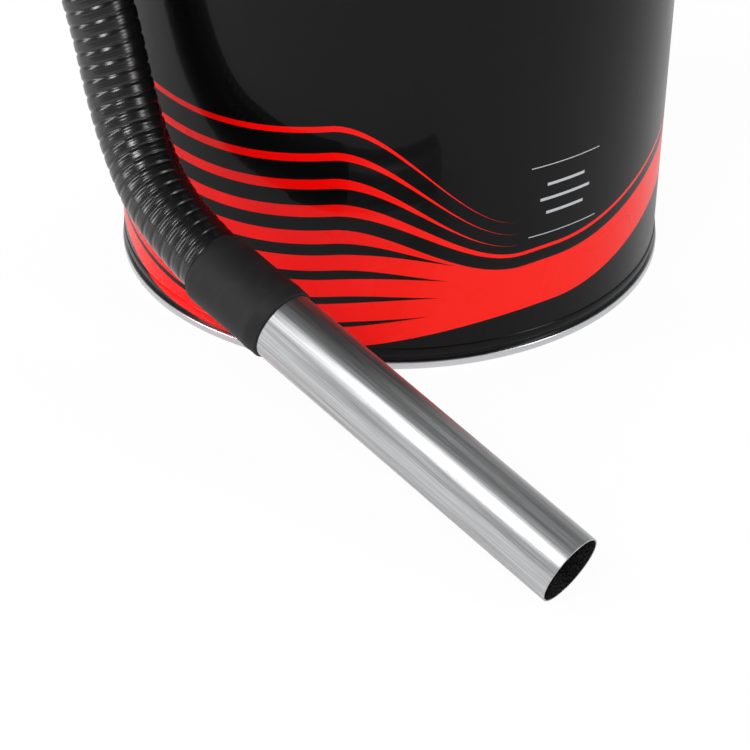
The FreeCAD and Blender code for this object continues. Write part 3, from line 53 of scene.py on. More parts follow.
# sides of the drum and its rim, and of the nozzle and its cuff
roundSteps = 256
tubeSteps = 160


# Shader helpers

# settings that many nodes share
plus = {"operation": "ADD"}
minus = {"operation": "SUBTRACT"}
times = {"operation": "MULTIPLY"}
over = {"operation": "DIVIDE"}
below = {"operation": "LESS_THAN"}
within = {"operation": "COMPARE"}
sine = {"operation": "SINE"}
# 0 below the first limit, 1 above the second and a smooth step in between
smooth = {"interpolation_type": "SMOOTHSTEP"}


def linear(hexCode):
    channels = [int(hexCode[i:i + 2], 16) / 255 for i in (1, 3, 5)]
    return [c / 12.92 if c <= 0.04045 else ((c + 0.055) / 1.055) ** 2.4 for c in channels] + [1.0]


def addNode(tree, kind, settings=None, *inputs):
    # settings go by their name, or an input's name or number, and inputs are its first ones in order;
    # each is a value, another node, which stands for its first output, or an output
    node = tree.nodes.new("ShaderNode" + kind)
    for key, value in [*(settings or {}).items(), *enumerate(inputs)]:
        source = value.outputs[0] if isinstance(value, bpy.types.Node) else value
        if isinstance(source, bpy.types.NodeSocket):
            tree.links.new(source, node.inputs[key])
        elif isinstance(key, int) or key in node.inputs:
            node.inputs[key].default_value = source
        else:
            setattr(node, key, source)
    return node


def newMaterial(name, settings):
    material = bpy.data.materials.new(name)
    material.use_nodes = True
    shader = material.node_tree.nodes["Principled BSDF"]
    for key, value in settings.items():
        shader.inputs[key].default_value = value
    return material, material.node_tree, shader


def coordinates(tree, kind="Object", scale=(1, 1, 1)):
    return addNode(tree, "Mapping", {"Scale": scale}, addNode(tree, "TexCoord").outputs[kind])


def linkSurface(tree, shader, shine, relief, colour=None):
    # shine is a pattern with its least and greatest roughness, relief a pattern with its strength and depth
    pattern, low, high = shine
    roughness = addNode(tree, "MapRange", {3: low, 4: high}, pattern)
    tree.links.new(roughness.outputs[0], shader.inputs["Roughness"])
    height, strength, depth = relief
    raised = addNode(tree, "Bump", {"Strength": strength, "Distance": depth, "Height": height})
    tree.links.new(raised.outputs[0], shader.inputs["Normal"])
    if colour is not None:
        tree.links.new(colour, shader.inputs["Base Color"])


# Mesh helpers

def finishObject(form, name, material, node, uvRadius=None, matrix=None, sharp=35):
    # a mesh turned into the finished object that stands for a CAD node
    bmesh.ops.remove_doubles(form, verts=form.verts, dist=merging)
    bmesh.ops.recalc_face_normals(form, faces=form.faces)
    if uvRadius is not None:
        wrapRound(form, uvRadius)
    if matrix is not None:
        bmesh.ops.transform(form, matrix=matrix, verts=form.verts)
    mesh = bpy.data.meshes.new(name)
    form.to_mesh(mesh)
    form.free()
    for polygon in mesh.polygons:
        polygon.use_smooth = True
    mesh.set_sharp_from_angle(angle=math.radians(sharp))
    mesh.materials.append(material)
    shown = bpy.data.objects.new(name, mesh)
    bpy.context.scene.collection.objects.link(shown)
    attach(shown, riding[node])
    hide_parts(node)
    dressed.add(node)
    return shown


def wrapRound(form, radius):
    # U round the axis and V along it, both in millimetres
    layer = form.loops.layers.uv.new("wrap")
    for face in form.faces:
        middle = face.calc_center_median()
        facing = math.atan2(middle.y, middle.x)
        for loop in face.loops:
            angle = math.atan2(loop.vert.co.y, loop.vert.co.x)
            angle += 2 * math.pi * round((facing - angle) / (2 * math.pi))
            loop[layer].uv = (angle * radius, loop.vert.co.z / mm)


def spun(profile, steps, edge=0.0, closed=True):
    # an outline of (radius, height) in millimetres turned about Z, its sharp edges bevelled by edge
    form = bmesh.new()
    points = [form.verts.new((radius * mm, 0, height * mm)) for radius, height in profile]
    pairs = list(zip(points, points[1:])) + ([(points[-1], points[0])] if closed else [])
    edges = [form.edges.new(pair) for pair in pairs]
    bmesh.ops.spin(form, geom=points + edges, cent=(0, 0, 0), axis=(0, 0, 1), angle=2 * math.pi, steps=steps,
                   use_merge=True)
    bmesh.ops.remove_doubles(form, verts=form.verts, dist=merging)
    bmesh.ops.recalc_face_normals(form, faces=form.faces)
    if edge:
        corners = [line for line in form.edges if line.is_manifold and line.calc_face_angle() > bevelFrom]
        bmesh.ops.bevel(form, geom=corners, offset=edge * mm, segments=3, profile=0.5, affect="EDGES",
                        material=-1)
    return form


def dressCopy(node, material):
    form = bmesh.new()
    form.from_mesh(frame["nodes"][node].data)
    return finishObject(form, node + "_look", material, node)


# Drum: black enamel with a printed wave of red stripes

drum = {"radius": 152.5, "wall": 0.8, "top": 300, "curl": 2.4, "curlHigh": 4.5, "foot": 4.2, "bead": 0.7,
        "beadLow": 6.5, "beadHigh": 5.5, "bendSteps": 8, "intakeRadius": 24, "intakeHigh": 215,
        "intakeTurn": 45, "intakeSides": 64, "black": "#040405", "rough": (0.22, 0.34),
        "relief": (0.05, 0.0004)}

# The print's places and lengths are in millimetres, along the wall from the front and up from the floor.
# bandLeft is the share of its pitch that the lowest stripe fills, and bandLoss what each next one has less.
# Each rule has its start, end, height and width.

# The red ink carries painted light: its shaded colour on the left, and a share of a lighter lit copy towards
# the right.
stripes = {"count": 9, "low": 16, "pitchLeft": 15.5, "pitchRight": 6.5, "bandLeft": 0.80, "bandLoss": 0.075,
           "gather": (-30, 70), "waveLong": 58.0, "waveHigh": 11.0, "climbs": (90, 240), "climb": 45.0,
           "lastInBand": 3, "joinedWide": 1.2, "companion": 5, "companionWide": 0.3, "taper": (250, 190),
           "paintedLight": (-40, 30), "paintedLightShare": 0.6, "grain": 0.25, "inkHigh": 0.03,
           "red": "#e80000", "paintedLitRed": "#ff2416", "silver": "#b9bcc0",
           "rules": [(72, 116, 107, 0.5), (82, 106, 96, 1.6), (78, 110, 88, 1.6), (82, 106, 80, 1.6),
                     (72, 116, 68, 0.5)]}


def drumPaint():
    # enamel baked on sheet steel and printed: deep black and red under a thin gloss, the red painted darker
    # on the left as shade and lighter on the right as painted light
    material, tree, shader = newMaterial("drum_print", {"Specular IOR Level": 0.06, "Coat Weight": 0.2,
                                                        "Coat Roughness": 0.03})
    spot = addNode(tree, "SeparateXYZ", None, coordinates(tree))
    forward = addNode(tree, "Math", times, spot.outputs[1], -1.0)
    facing = addNode(tree, "Math", {"operation": "ARCTAN2"}, spot.outputs[0], forward)
    along = addNode(tree, "Math", times, facing, drum["radius"])
    height = addNode(tree, "Math", times, spot.outputs[2], 1 / mm)
    # the stripes lie apart on the left and close up to the right, on one slow wave
    gather = addNode(tree, "MapRange", smooth, along, *stripes["gather"])
    swing = addNode(tree, "Math", sine, addNode(tree, "Math", over, along, stripes["waveLong"]))
    wave = addNode(tree, "Math", times, swing, stripes["waveHigh"])
    climb = addNode(tree, "Math", times, addNode(tree, "MapRange", smooth, along, *stripes["climbs"]),
                    stripes["climb"])
    centre = addNode(tree, "Math", plus, addNode(tree, "Math", plus, wave, climb), stripes["low"])
    closing = addNode(tree, "Math", times, gather, stripes["pitchLeft"] - stripes["pitchRight"])
    pitch = addNode(tree, "Math", minus, stripes["pitchLeft"], closing)
    count = addNode(tree, "Math", over, addNode(tree, "Math", minus, height, centre), pitch)
    number = addNode(tree, "Math", {"operation": "FLOOR"}, count)
    share = addNode(tree, "Math", minus, count, number)
    loose = addNode(tree, "Math", minus, stripes["bandLeft"],
                    addNode(tree, "Math", times, number, stripes["bandLoss"]))
    # the lowest stripes fill more than their pitch where they join into the band
    joined = addNode(tree, "Math", times, addNode(tree, "Math", below, number, stripes["lastInBand"] + 0.5),
                     stripes["joinedWide"])
    # the one thin line that stays beside the broad band
    companion = addNode(tree, "Math", times, addNode(tree, "Math", within, number, stripes["companion"], 0.1),
                        stripes["companionWide"])
    tight = addNode(tree, "Math", plus, joined, companion)
    width = addNode(tree, "Math", plus,
                    addNode(tree, "Math", times, loose, addNode(tree, "Math", minus, 1.0, gather)),
                    addNode(tree, "Math", times, tight, gather))
    # the stripes taper off at the sides, below the latches
    taper = addNode(tree, "MapRange", smooth, addNode(tree, "Math", {"operation": "ABSOLUTE"}, along),
                    *stripes["taper"])
    stripe = addNode(tree, "Math", below, share, addNode(tree, "Math", times, width, taper))
    inside = addNode(tree, "Math", times, addNode(tree, "Math", {"operation": "GREATER_THAN"}, count, 0.0),
                     addNode(tree, "Math", below, count, stripes["count"]))
    printed = addNode(tree, "Math", times, stripe, inside)
    grain = addNode(tree, "TexNoise", {"Scale": 900.0, "Detail": 2.0}, coordinates(tree))
    # painted light and shade on the red: it turns towards a lighter lit copy from left to right, broken by a
    # random grain
    paintedLightAndGrain = addNode(tree, "Math", plus, addNode(tree, "MapRange", smooth, along, *stripes["paintedLight"]),
                   addNode(tree, "Math", times, grain, stripes["grain"]))
    paintedLight = addNode(tree, "Math", {"operation": "MINIMUM"},
                  addNode(tree, "Math", times, paintedLightAndGrain, stripes["paintedLightShare"]), 1.0)
    red = addNode(tree, "Mix", {"data_type": "RGBA", 6: linear(stripes["red"]), 7: linear(stripes["paintedLitRed"])},
                  paintedLight)
    base = addNode(tree, "Mix", {"data_type": "RGBA", 6: linear(drum["black"]), 7: red.outputs[2]}, printed)
    ruled = addNode(tree, "Mix", {"data_type": "RGBA", 6: base.outputs[2], 7: linear(stripes["silver"])},
                    silverRules(tree, along, height))
    # enamel flows out in low waves, and the ink stands up a little
    flow = addNode(tree, "TexNoise", {"Scale": 28.0, "Detail": 2.0}, coordinates(tree))
    surface = addNode(tree, "Math", plus, addNode(tree, "Math", times, printed, stripes["inkHigh"]), flow)
    linkSurface(tree, shader, (flow, *drum["rough"]), (surface, *drum["relief"]), ruled.outputs[2])
    return material


def silverRules(tree, along, height):
    # thin level rules with three short plain ones between them
    total = None
    for start, end, level, wide in stripes["rules"]:
        middle = addNode(tree, "Math", within, along, (start + end) / 2, (end - start) / 2)
        rule = addNode(tree, "Math", times, middle, addNode(tree, "Math", within, height, level, wide / 2))
        total = rule if total is None else addNode(tree, "Math", {"operation": "MAXIMUM"}, total, rule)
    return total


def makeDrum():
    out = drum["radius"]
    inner = out - drum["wall"]
    top = drum["top"]
    low = drum["beadLow"]
    bead = drum["beadHigh"]
    curlHalf = drum["curlHigh"] / 2
    steps = drum["bendSteps"]
    profile = [(inner, drum["foot"]), (out, drum["foot"]), (out, low)]
    for step in range(1, steps):
        # the bead is half a round
        turn = math.pi * step / steps
        profile.append((out + drum["bead"] * math.sin(turn), low + bead * (1 - math.cos(turn)) / 2))
    profile += [(out, low + bead), (out, top - drum["curlHigh"])]
    for step in range(0, steps + 1):
        turn = math.pi * (step / steps - 0.5)
        wide = drum["curl"] * (math.cos(turn) + 1) / 2
        profile.append((out + wide, top - curlHalf + curlHalf * math.sin(turn)))
    profile.append((inner, top))
    pierceWall(finishObject(spun(profile, roundSteps), "drum_wall", drumPaint(), "drum_shell"))


def pierceWall(wall):
    # the intake's hole, whose edge is under the flange of its collar
    cutter = bpy.data.objects.new("intake_hole", bpy.data.meshes.new("intake_hole"))
    radius = drum["intakeRadius"] * mm
    form = bmesh.new()
    bmesh.ops.create_cone(form, cap_ends=True, segments=drum["intakeSides"], radius1=radius, radius2=radius,
                          depth=2.5 * radius)
    spot = Vector((drum["radius"], 0, drum["intakeHigh"])) * mm
    where = Matrix.Rotation(math.radians(drum["intakeTurn"]), 4, "Z") @ Matrix.Translation(spot)
    bmesh.ops.transform(form, matrix=where @ Matrix.Rotation(math.radians(90), 4, "Y"), verts=form.verts)
    form.to_mesh(cutter.data)
    form.free()
    bpy.context.scene.collection.objects.link(cutter)
    hole = wall.modifiers.new("hole", "BOOLEAN")
    hole.object = cutter
    hole.solver = "EXACT"
    bpy.context.view_layer.update()
    pierced = bpy.data.meshes.new_from_object(wall.evaluated_get(bpy.context.evaluated_depsgraph_get()))
    wall.modifiers.clear()
    wall.data = pierced
    bpy.data.objects.remove(cutter)


# Bright foot rim with the drum's floor

rim = {"outer": 154.1, "inner": 148.9, "high": 4.2, "sheet": 1.0, "edge": 0.7, "colour": "#cfd1d4",
       "streaks": (0.05, 3.0, 1.0), "rough": (0.16, 0.3), "relief": (0.15, 0.0001)}


def rimMetal():
    # rolled bright steel: fine streaks round the rim draw its highlights out
    material, tree, shader = newMaterial("rim_metal", {"Metallic": 1.0, "Base Color": linear(rim["colour"])})
    streaks = addNode(tree, "TexNoise", {"Scale": 1.0, "Detail": 3.0},
                      coordinates(tree, "UV", rim["streaks"]))
    linkSurface(tree, shader, (streaks, *rim["rough"]), (streaks, *rim["relief"]))
    return material


def makeRim():
    low = rim["high"] - rim["sheet"]
    profile = [(0, low), (rim["inner"], low), (rim["inner"], 0), (rim["outer"], 0),
               (rim["outer"], rim["high"]), (0, rim["high"])]
    turned = spun(profile, roundSteps, rim["edge"], closed=False)
    finishObject(turned, "foot_rim", rimMetal(), "drum_floor", rim["outer"])


# Nozzle and its cuff, made upright with the mouth at the origin and then laid in place

# A pattern's numbers are its cells in a millimetre round the piece and along it.
# boreWithin is how far outside its bore a face may lie and still have the bore's finish, which is painted
# shade.

nozzle = {"tip": (76.7, -336.0), "turn": -41.9, "tilt": 17.1, "outer": 17.5, "wall": 0.8, "shown": 180,
          "held": 16, "swage": 0.3, "swageLong": 0.4, "edge": 0.22, "boreWithin": 0.05,
          "metal": "#d2d3d4", "streak": "#949597", "fine": (2.4, 0.02, 1.0), "broad": (0.35, 0.006, 1.0),
          "fineShare": 0.6, "shades": (0.3, 0.7), "rough": (0.27, 0.46), "relief": (0.12, 0.0001),
          "boreShade": "#1c1c1d", "boreShadePale": "#4a4a4b", "specks": (0.9, 0.9, 1.0), "boreShadeSpread": (0.35, 0.7),
          "boreRough": (0.45, 0.7), "boreRelief": (0.3, 0.0002)}


def nozzlePlace():
    tilt = math.radians(nozzle["tilt"])
    turn = math.radians(nozzle["turn"])
    forward = Vector((math.cos(turn) * math.cos(tilt), math.sin(turn) * math.cos(tilt), -math.sin(tilt)))
    spot = Vector((*nozzle["tip"], nozzle["outer"] * math.cos(tilt))) * mm
    return Matrix.Translation(spot) @ forward.to_track_quat("-Z", "X").to_matrix().to_4x4()


def brushedMetal():
    # bright steel tube brushed along its length: long streaks and a soft bright line
    material, tree, shader = newMaterial("brushed_tube", {"Metallic": 1.0})
    fine = addNode(tree, "TexNoise", {"Scale": 1.0, "Detail": 4.0, "Roughness": 0.6},
                   coordinates(tree, "UV", nozzle["fine"]))
    broad = addNode(tree, "TexNoise", {"Scale": 1.0, "Detail": 2.0}, coordinates(tree, "UV", nozzle["broad"]))
    blend = addNode(tree, "Math", plus, addNode(tree, "Math", times, fine, nozzle["fineShare"]),
                    addNode(tree, "Math", times, broad, 1 - nozzle["fineShare"]))
    shade = addNode(tree, "MapRange", smooth, blend, *nozzle["shades"])
    colour = addNode(tree, "Mix", {"data_type": "RGBA", 6: linear(nozzle["streak"]),
                                   7: linear(nozzle["metal"])}, shade)
    linkSurface(tree, shader, (fine, *nozzle["rough"]), (fine, *nozzle["relief"]), colour.outputs[2])
    return material


def shadedBorePaint():
    # the same steel inside, painted dark as shade so that the mouth is a dark hole, with paler random specks
    material, tree, shader = newMaterial("nozzle_bore", {"Metallic": 1.0})
    specks = addNode(tree, "TexNoise", {"Scale": 1.0, "Detail": 4.0},
                     coordinates(tree, "UV", nozzle["specks"]))
    shade = addNode(tree, "MapRange", smooth, specks, *nozzle["boreShadeSpread"])
    colour = addNode(tree, "Mix", {"data_type": "RGBA", 6: linear(nozzle["boreShade"]),
                                   7: linear(nozzle["boreShadePale"])}, shade)
    linkSurface(tree, shader, (specks, *nozzle["boreRough"]), (specks, *nozzle["boreRelief"]),
                colour.outputs[2])
    return material


def makeTube(matrix):
    out = nozzle["outer"]
    inner = out - nozzle["wall"]
    less = nozzle["swage"]
    start = nozzle["shown"] - nozzle["swageLong"]
    shown = nozzle["shown"]
    end = shown + nozzle["held"]
    outline = [(inner, 0), (out, 0), (out, start), (out - less, shown), (out - less, end),
               (inner - less, end), (inner - less, shown), (inner, start)]
    pipe = spun(outline, tubeSteps, nozzle["edge"])
    # the inside has its own finish: painted shade
    for face in pipe.faces:
        middle = face.calc_center_median()
        reach = math.hypot(middle.x, middle.y)
        face.material_index = 1 if reach < (inner + nozzle["boreWithin"]) * mm else 0
    look = finishObject(pipe, "nozzle_pipe", brushedMetal(), "nozzle_tube", out, matrix)
    look.data.materials.append(shadedBorePaint())


# Heights on the cuff are from the end that the nozzle stands out of, where it has a lip.
# A low ridge runs round behind the lip, and the tail is how far in and how far back the last bends are.

rubberCuff = {"outer": 18.8, "long": 49, "fit": 0.05, "hoseFit": 17.2, "hoseDeep": 32.3, "edge": 0.3,
              "lipWide": 0.7, "lipLong": 1.0, "ridge": 0.25, "ridgeRise": (5.5, 6.3), "ridgeFall": (8.2, 9.0),
              "tail": [(0, 3.4), (0.5, 1.2), (1.3, 0)], "mouthWide": 0.2, "mouthLong": 4,
              "rubber": "#19191a", "worn": "#242425", "patches": (0.05, 0.09, 1.0), "wornFrom": (0.42, 0.9),
              "grain": 1.6, "rough": (0.58, 0.66), "relief": (0.2, 0.0002)}


def cuffRubber():
    # moulded rubber: matt, and a little paler in worn patches
    material, tree, shader = newMaterial("cuff_rubber", {"Specular IOR Level": 0.25})
    patches = addNode(tree, "TexNoise", {"Scale": 1.0, "Detail": 3.0, "Distortion": 1.2},
                      coordinates(tree, "UV", rubberCuff["patches"]))
    worn = addNode(tree, "MapRange", smooth, patches, *rubberCuff["wornFrom"])
    colour = addNode(tree, "Mix", {"data_type": "RGBA", 6: linear(rubberCuff["rubber"]),
                                   7: linear(rubberCuff["worn"])}, worn)
    grain = addNode(tree, "TexNoise", {"Scale": rubberCuff["grain"], "Detail": 2.0}, coordinates(tree, "UV"))
    linkSurface(tree, shader, (patches, *rubberCuff["rough"]), (grain, *rubberCuff["relief"]),
                colour.outputs[2])
    return material


def makeCuff(matrix):
    out = rubberCuff["outer"]
    long = rubberCuff["long"]
    ridge = out + rubberCuff["ridge"]
    held = nozzle["outer"] - nozzle["swage"] + rubberCuff["fit"]
    bore = rubberCuff["hoseFit"]
    stop = long - rubberCuff["hoseDeep"]
    outline = [(held, 0), (out - rubberCuff["lipWide"], 0), (out, rubberCuff["lipLong"])]
    outline += list(zip((out, ridge), rubberCuff["ridgeRise"]))
    outline += list(zip((ridge, out), rubberCuff["ridgeFall"]))
    outline += [(out - inward, long - back) for inward, back in rubberCuff["tail"]]
    outline += [(bore + rubberCuff["mouthWide"], long), (bore, long - rubberCuff["mouthLong"]), (bore, stop),
                (held, stop)]
    placed = [(radius, height + nozzle["shown"]) for radius, height in outline]
    sleeve = spun(placed, tubeSteps, rubberCuff["edge"])
    return finishObject(sleeve, "cuff_sleeve", cuffRubber(), "nozzle_cuff", out, matrix)


# Hose: ribs wound round a line with the points of the CAD hose's route

# Sizes are in millimetres, but grooveWide, dipFrom and dipOver are shares of the pitch, and dip of deep.
# rings and liningRings are the rings of points outside and in the bore; threads are fine lines on each rib.

hose = {"outer": 17.0, "bore": 14.6, "pitch": 7.0, "deep": 0.65, "grooveWide": 0.13, "dip": 0.048,
        "dipFrom": 0.3, "dipOver": 0.2, "plainEnd": 10, "threads": 4, "colour": "#0d0d0e",
        "mottle": 0.25, "rough": (0.18, 0.3), "relief": (0.2, 0.0001),
        "lineSteps": 48, "rings": 1900, "liningRings": 160, "sides": 40,
        "route": [(128, -32, 367), (128, 31, 367), (101, 89, 365), (53, 130, 364), (-8, 146, 364),
                  (-70, 135, 364), (-122, 99, 366), (-161, 48, 370), (-182, -11, 355), (-182, -65, 319),
                  (-166, -102, 265), (-142, -110, 193), (-129, -133, 125), (-104.7, -173.2, 91.7),
                  (-63.45, -210.25, 74.65)]}


def hosePlastic():
    # extruded plastic: black and glossy, with small bright highlights on its ribs
    material, tree, shader = newMaterial("hose_gloss", {"Base Color": linear(hose["colour"]),
                                                        "Specular IOR Level": 0.55})
    place = addNode(tree, "SeparateXYZ", None, coordinates(tree, "UV"))
    alongHose = addNode(tree, "Math", over, place.outputs[1], hose["pitch"] / hose["threads"])
    roundHose = addNode(tree, "Math", over, place.outputs[0], 2 * math.pi * hose["outer"] / hose["threads"])
    turns = addNode(tree, "Math", minus, alongHose, roundHose)
    threads = addNode(tree, "Math", sine, addNode(tree, "Math", times, turns, 2 * math.pi))
    mottle = addNode(tree, "TexNoise", {"Scale": hose["mottle"], "Detail": 2.0}, coordinates(tree, "UV"))
    linkSurface(tree, shader, (mottle, *hose["rough"]), (threads, *hose["relief"]))
    return material


def hoseLine():
    # the centre line: a NURBS spline that the route's points control
    curve = bpy.data.curves.new("hose_line", "CURVE")
    curve.dimensions = "3D"
    curve.resolution_u = hose["lineSteps"]
    spline = curve.splines.new("NURBS")
    spline.points.add(len(hose["route"]) - 1)
    for point, (x, y, z) in zip(spline.points, hose["route"]):
        point.co = (x * mm, y * mm, z * mm, 1)
    spline.order_u = 3
    spline.use_endpoint_u = True
    carrier = bpy.data.objects.new("hose_line", curve)
    mesh = bpy.data.meshes.new_from_object(carrier)
    points = [vertex.co.copy() for vertex in mesh.vertices]
    bpy.data.objects.remove(carrier)
    return points


def framesAlong(points, count):
    # even places on the line, each with a side direction that is carried along without twist
    ends = [0.0]
    for here, following in zip(points, points[1:]):
        ends.append(ends[-1] + (following - here).length)
    total = ends[-1]
    places = []
    index = 0
    side = None
    for step in range(count + 1):
        distance = total * step / count
        while index < len(points) - 2 and ends[index + 1] < distance:
            index += 1
        run = points[index + 1] - points[index]
        share = (distance - ends[index]) / run.length
        before = points[max(index - 1, 0)]
        after = points[min(index + 2, len(points) - 1)]
        along = (points[index + 1] - before).lerp(after - points[index], share).normalized()
        if side is None:
            side = along.orthogonal()
        side = (side - along * side.dot(along)).normalized()
        places.append((points[index] + run * share, side.copy(), along.cross(side), distance))
    return places, total


def makeHose():
    points = hoseLine()
    fine = hose["rings"]
    coarse = hose["liningRings"]
    sides = hose["sides"]
    outerPlaces, total = framesAlong(points, fine)
    innerPlaces, total = framesAlong(points, coarse)
    rings = fine + coarse + 2
    # a grid is bent round the line: along the outside, back through the bore and closed on itself
    form = bmesh.new()
    bmesh.ops.create_grid(form, x_segments=rings, y_segments=sides, size=1)
    layer = form.loops.layers.uv.new("wrap")
    spots = {}
    for vertex in form.verts:
        ring = round((vertex.co.x + 1) / 2 * rings) % rings
        part = round((vertex.co.y + 1) / 2 * sides)
        turn = 2 * math.pi * part / sides
        if ring <= fine:
            middle, side, up, distance = outerPlaces[ring]
            radius = hose["outer"] - hose["deep"] * grooveAt(distance / mm, part / sides, total / mm)
        else:
            middle, side, up, distance = innerPlaces[coarse - (ring - fine - 1)]
            radius = hose["bore"]
        vertex.co = middle + (side * math.cos(turn) + up * math.sin(turn)) * radius * mm
        spots[vertex.index] = (part / sides * 2 * math.pi * hose["outer"], distance / mm)
    for face in form.faces:
        for loop in face.loops:
            loop[layer].uv = spots[loop.vert.index]
    look = finishObject(form, "hose_ribbed", hosePlastic(), "hose", sharp=60)
    [place[0] for place in framesAlong(points, 400)[0]]
    print("hose length", round(total, 4))


def grooveAt(distance, turn, total):
    # how far the surface lies in, as a share of the groove's depth; the lands dip a little in their middle
    fromEnd = min(distance, total - distance)
    phase = distance / hose["pitch"] - turn
    off = abs(phase - round(phase))
    groove = math.exp(-(off / hose["grooveWide"]) ** 2)
    dip = hose["dip"] * max(0.0, off - hose["dipFrom"]) / hose["dipOver"]
    return (groove + dip) * min(1.0, fromEnd / hose["plainEnd"])


# Moulded, plated and inner pieces by material slot

# Each has its colour, metallic, least and greatest roughness, and the size of its grain in millimetres.

looks = {
    "plated_steel": ("#c3c5c9", 1.0, 0.2, 0.36, 2.0),
    "head_plastic": ("#141415", 0.0, 0.42, 0.55, 0.7),
    "grip_rubber": ("#1b1b1c", 0.0, 0.62, 0.78, 0.9),
    "black_rubber": ("#1d1d1e", 0.0, 0.5, 0.66, 1.2),
    "switch_red": ("#b90f12", 0.0, 0.2, 0.3, 3.0),
    "black_plastic": ("#101011", 0.0, 0.22, 0.34, 2.5),
    "seal_foam": ("#2e2e2f", 0.0, 0.8, 0.95, 0.8),
    "motor_steel": ("#9a9b9d", 1.0, 0.3, 0.45, 2.0),
    "motor_iron": ("#59595b", 1.0, 0.4, 0.6, 1.0),
    "winding_copper": ("#b06a3a", 1.0, 0.3, 0.45, 0.6),
    "brush_carbon": ("#202021", 0.0, 0.6, 0.8, 0.8),
    "fan_aluminium": ("#c9cacb", 1.0, 0.25, 0.4, 1.5),
    "capacitor_case": ("#c8b23a", 0.0, 0.25, 0.35, 3.0),
    "filter_paper": ("#dcd8cb", 0.0, 0.85, 0.98, 0.8),
    "filter_plastic": ("#2b2b2c", 0.0, 0.45, 0.6, 1.0),
}
grainDepth = 0.00006
plainBump = 0.35
metalBump = 0.08


def plainLook(slotName):
    # a fine grain breaks up the highlights, strongly on plastic and rubber and faintly on metal
    colour, metallic, low, high, grain = looks[slotName]
    material, tree, shader = newMaterial(slotName + "_look", {"Base Color": linear(colour),
                                                              "Metallic": metallic})
    texture = addNode(tree, "TexNoise", {"Scale": 1 / (grain * mm), "Detail": 3.0}, coordinates(tree))
    strength = plainBump if metallic == 0 else metalBump
    linkSurface(tree, shader, (texture, low, high), (texture, strength, grainDepth))
    return material


def dressTheRest():
    materials = {}
    for node in sorted(frame["nodes"]):
        if node in dressed:
            continue
        slotName = slotOf[node]
        if slotName not in materials:
            materials[slotName] = plainLook(slotName)
        dressCopy(node, materials[slotName])


# Floor, lamps and world

# Each lamp has its place, its aim, its width, its height and its watts.

light = {"worldGrey": "#b4b4b4", "horizon": "#c8c8c8", "zenith": "#5c5c5c", "skyBand": (0.05, 0.75),
         "white": "#ffffff", "floor": "#f4f4f4", "floorSize": 6, "floorSeen": 0.94, "floorMirrored": 0.25,
         "shadowEnds": (0.25, 0.6),
         "lamps": [((-0.55, -1.25, 1.45), (0.0, -0.15, 0.08), 0.42, 0.6, 15.0),
                   ((1.25, -0.7, 0.85), (0.05, -0.1, 0.1), 0.35, 1.0, 7.0),
                   ((-1.35, -0.35, 0.7), (-0.1, -0.05, 0.12), 0.3, 1.1, 9.0),
                   ((0.1, 0.75, 1.5), (0.0, 0.0, 0.3), 1.2, 0.6, 9.0)]}


def makeFloor():
    form = bmesh.new()
    bmesh.ops.create_grid(form, x_segments=1, y_segments=1, size=light["floorSize"])
    mesh = bpy.data.meshes.new("floor")
    form.to_mesh(mesh)
    form.free()
    floor = bpy.data.objects.new("floor", mesh)
    bpy.context.scene.collection.objects.link(floor)
    material, tree, shader = newMaterial("floor_white", {"Base Color": linear(light["floor"]),
                                                         "Roughness": 1.0, "Specular IOR Level": 0.0})
    path = addNode(tree, "LightPath")
    glow = addNode(tree, "Emission", {"Color": linear(light["white"]), "Strength": 1.0})
    # away from the object the floor shows no shadow and is as white as the world behind it
    away = addNode(tree, "VectorMath", {"operation": "LENGTH"}, coordinates(tree)).outputs["Value"]
    beyond = addNode(tree, "MapRange", smooth, away, *light["shadowEnds"])
    white = addNode(tree, "Math", plus, light["floorSeen"],
                    addNode(tree, "Math", times, beyond, 1 - light["floorSeen"]))
    seen = addNode(tree, "Math", plus, addNode(tree, "Math", times, path.outputs["Is Camera Ray"], white),
                   addNode(tree, "Math", times, path.outputs["Is Glossy Ray"], light["floorMirrored"]))
    blend = addNode(tree, "MixShader", None, seen, shader, glow)
    tree.links.new(blend.outputs[0], tree.nodes["Material Output"].inputs[0])
    mesh.materials.append(material)
    return floor


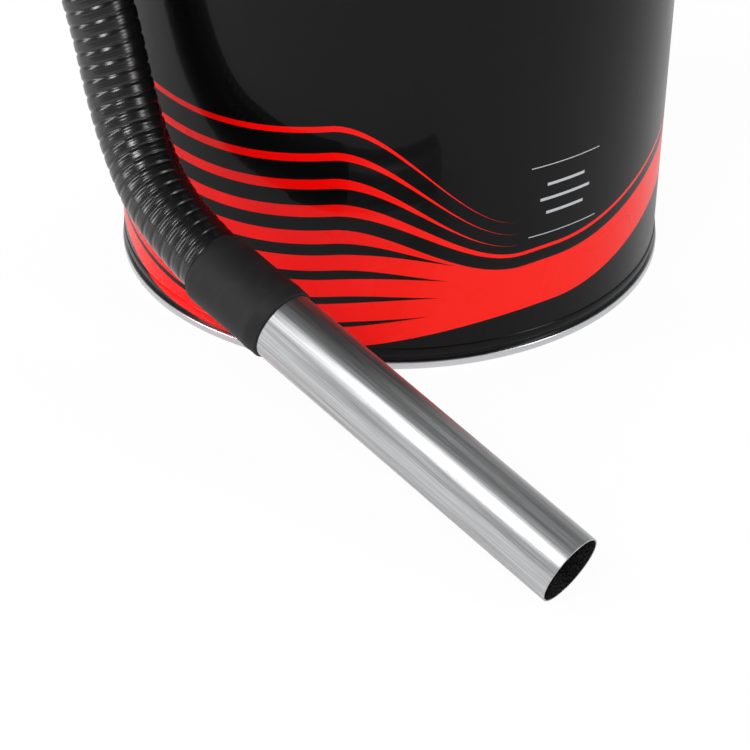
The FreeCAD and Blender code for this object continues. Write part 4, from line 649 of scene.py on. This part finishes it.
def makeLamps():
    lamps = []
    for index, (spot, aim, wide, tall, watts) in enumerate(light["lamps"]):
        data = bpy.data.lights.new(f"softbox_{index}", "AREA")
        data.shape = "RECTANGLE"
        data.size = wide
        data.size_y = tall
        data.energy = watts
        lamp = bpy.data.objects.new(data.name, data)
        lamp.location = spot
        lamp.rotation_euler = (Vector(aim) - Vector(spot)).to_track_quat("-Z", "Y").to_euler()
        lamp.visible_camera = False
        bpy.context.scene.collection.objects.link(lamp)
        lamps.append(lamp)
    return lamps


def makeWorld():
    # the camera sees white, mirrors see a sky that darkens upwards, and plain grey lights the rest
    world = bpy.data.worlds.new("studio")
    bpy.context.scene.world = world
    world.use_nodes = True
    tree = world.node_tree
    tree.nodes.clear()
    path = addNode(tree, "LightPath")
    height = addNode(tree, "SeparateXYZ", None, addNode(tree, "TexCoord").outputs["Generated"]).outputs[2]
    banded = addNode(tree, "Mix", {"data_type": "RGBA", 6: linear(light["horizon"]),
                                   7: linear(light["zenith"])},
                     addNode(tree, "MapRange", smooth, height, *light["skyBand"]))
    other = addNode(tree, "Mix", {"data_type": "RGBA", 6: linear(light["worldGrey"]), 7: banded.outputs[2]},
                    path.outputs["Is Glossy Ray"])
    shown = addNode(tree, "Mix", {"data_type": "RGBA", 6: other.outputs[2], 7: linear(light["white"])},
                    path.outputs["Is Camera Ray"])
    background = addNode(tree, "Background", {"Color": shown.outputs[2], "Strength": 1.0})
    addNode(tree, "OutputWorld", None, background)


# Camera as solved from the photograph

photographed = {"lens": 93.32, "sensor": 36, "place": (-0.0083, -0.990, 0.5605), "tilt": 56, "pixels": 750,
                "samples": 160}


def makeCamera():
    data = bpy.data.cameras.new("camera")
    data.lens = photographed["lens"]
    data.sensor_width = photographed["sensor"]
    camera = bpy.data.objects.new("camera", data)
    camera.location = photographed["place"]
    camera.rotation_euler = (math.radians(photographed["tilt"]), 0, 0)
    bpy.context.scene.collection.objects.link(camera)
    bpy.context.scene.camera = camera


makeDrum()
print("drum")
makeRim()
print("rim")
makeTube(nozzlePlace())
cuffSleeve = makeCuff(nozzlePlace())
print("nozzle")
makeHose()
dressTheRest()
print("dressed", len(dressed))
makeCamera()
makeFloor()
makeLamps()
makeWorld()

scene = bpy.context.scene
scene.render.engine = "CYCLES"
scene.cycles.samples = photographed["samples"]
scene.cycles.use_denoising = True
scene.render.resolution_x = photographed["pixels"]
scene.render.resolution_y = photographed["pixels"]
scene.view_settings.view_transform = "Standard"
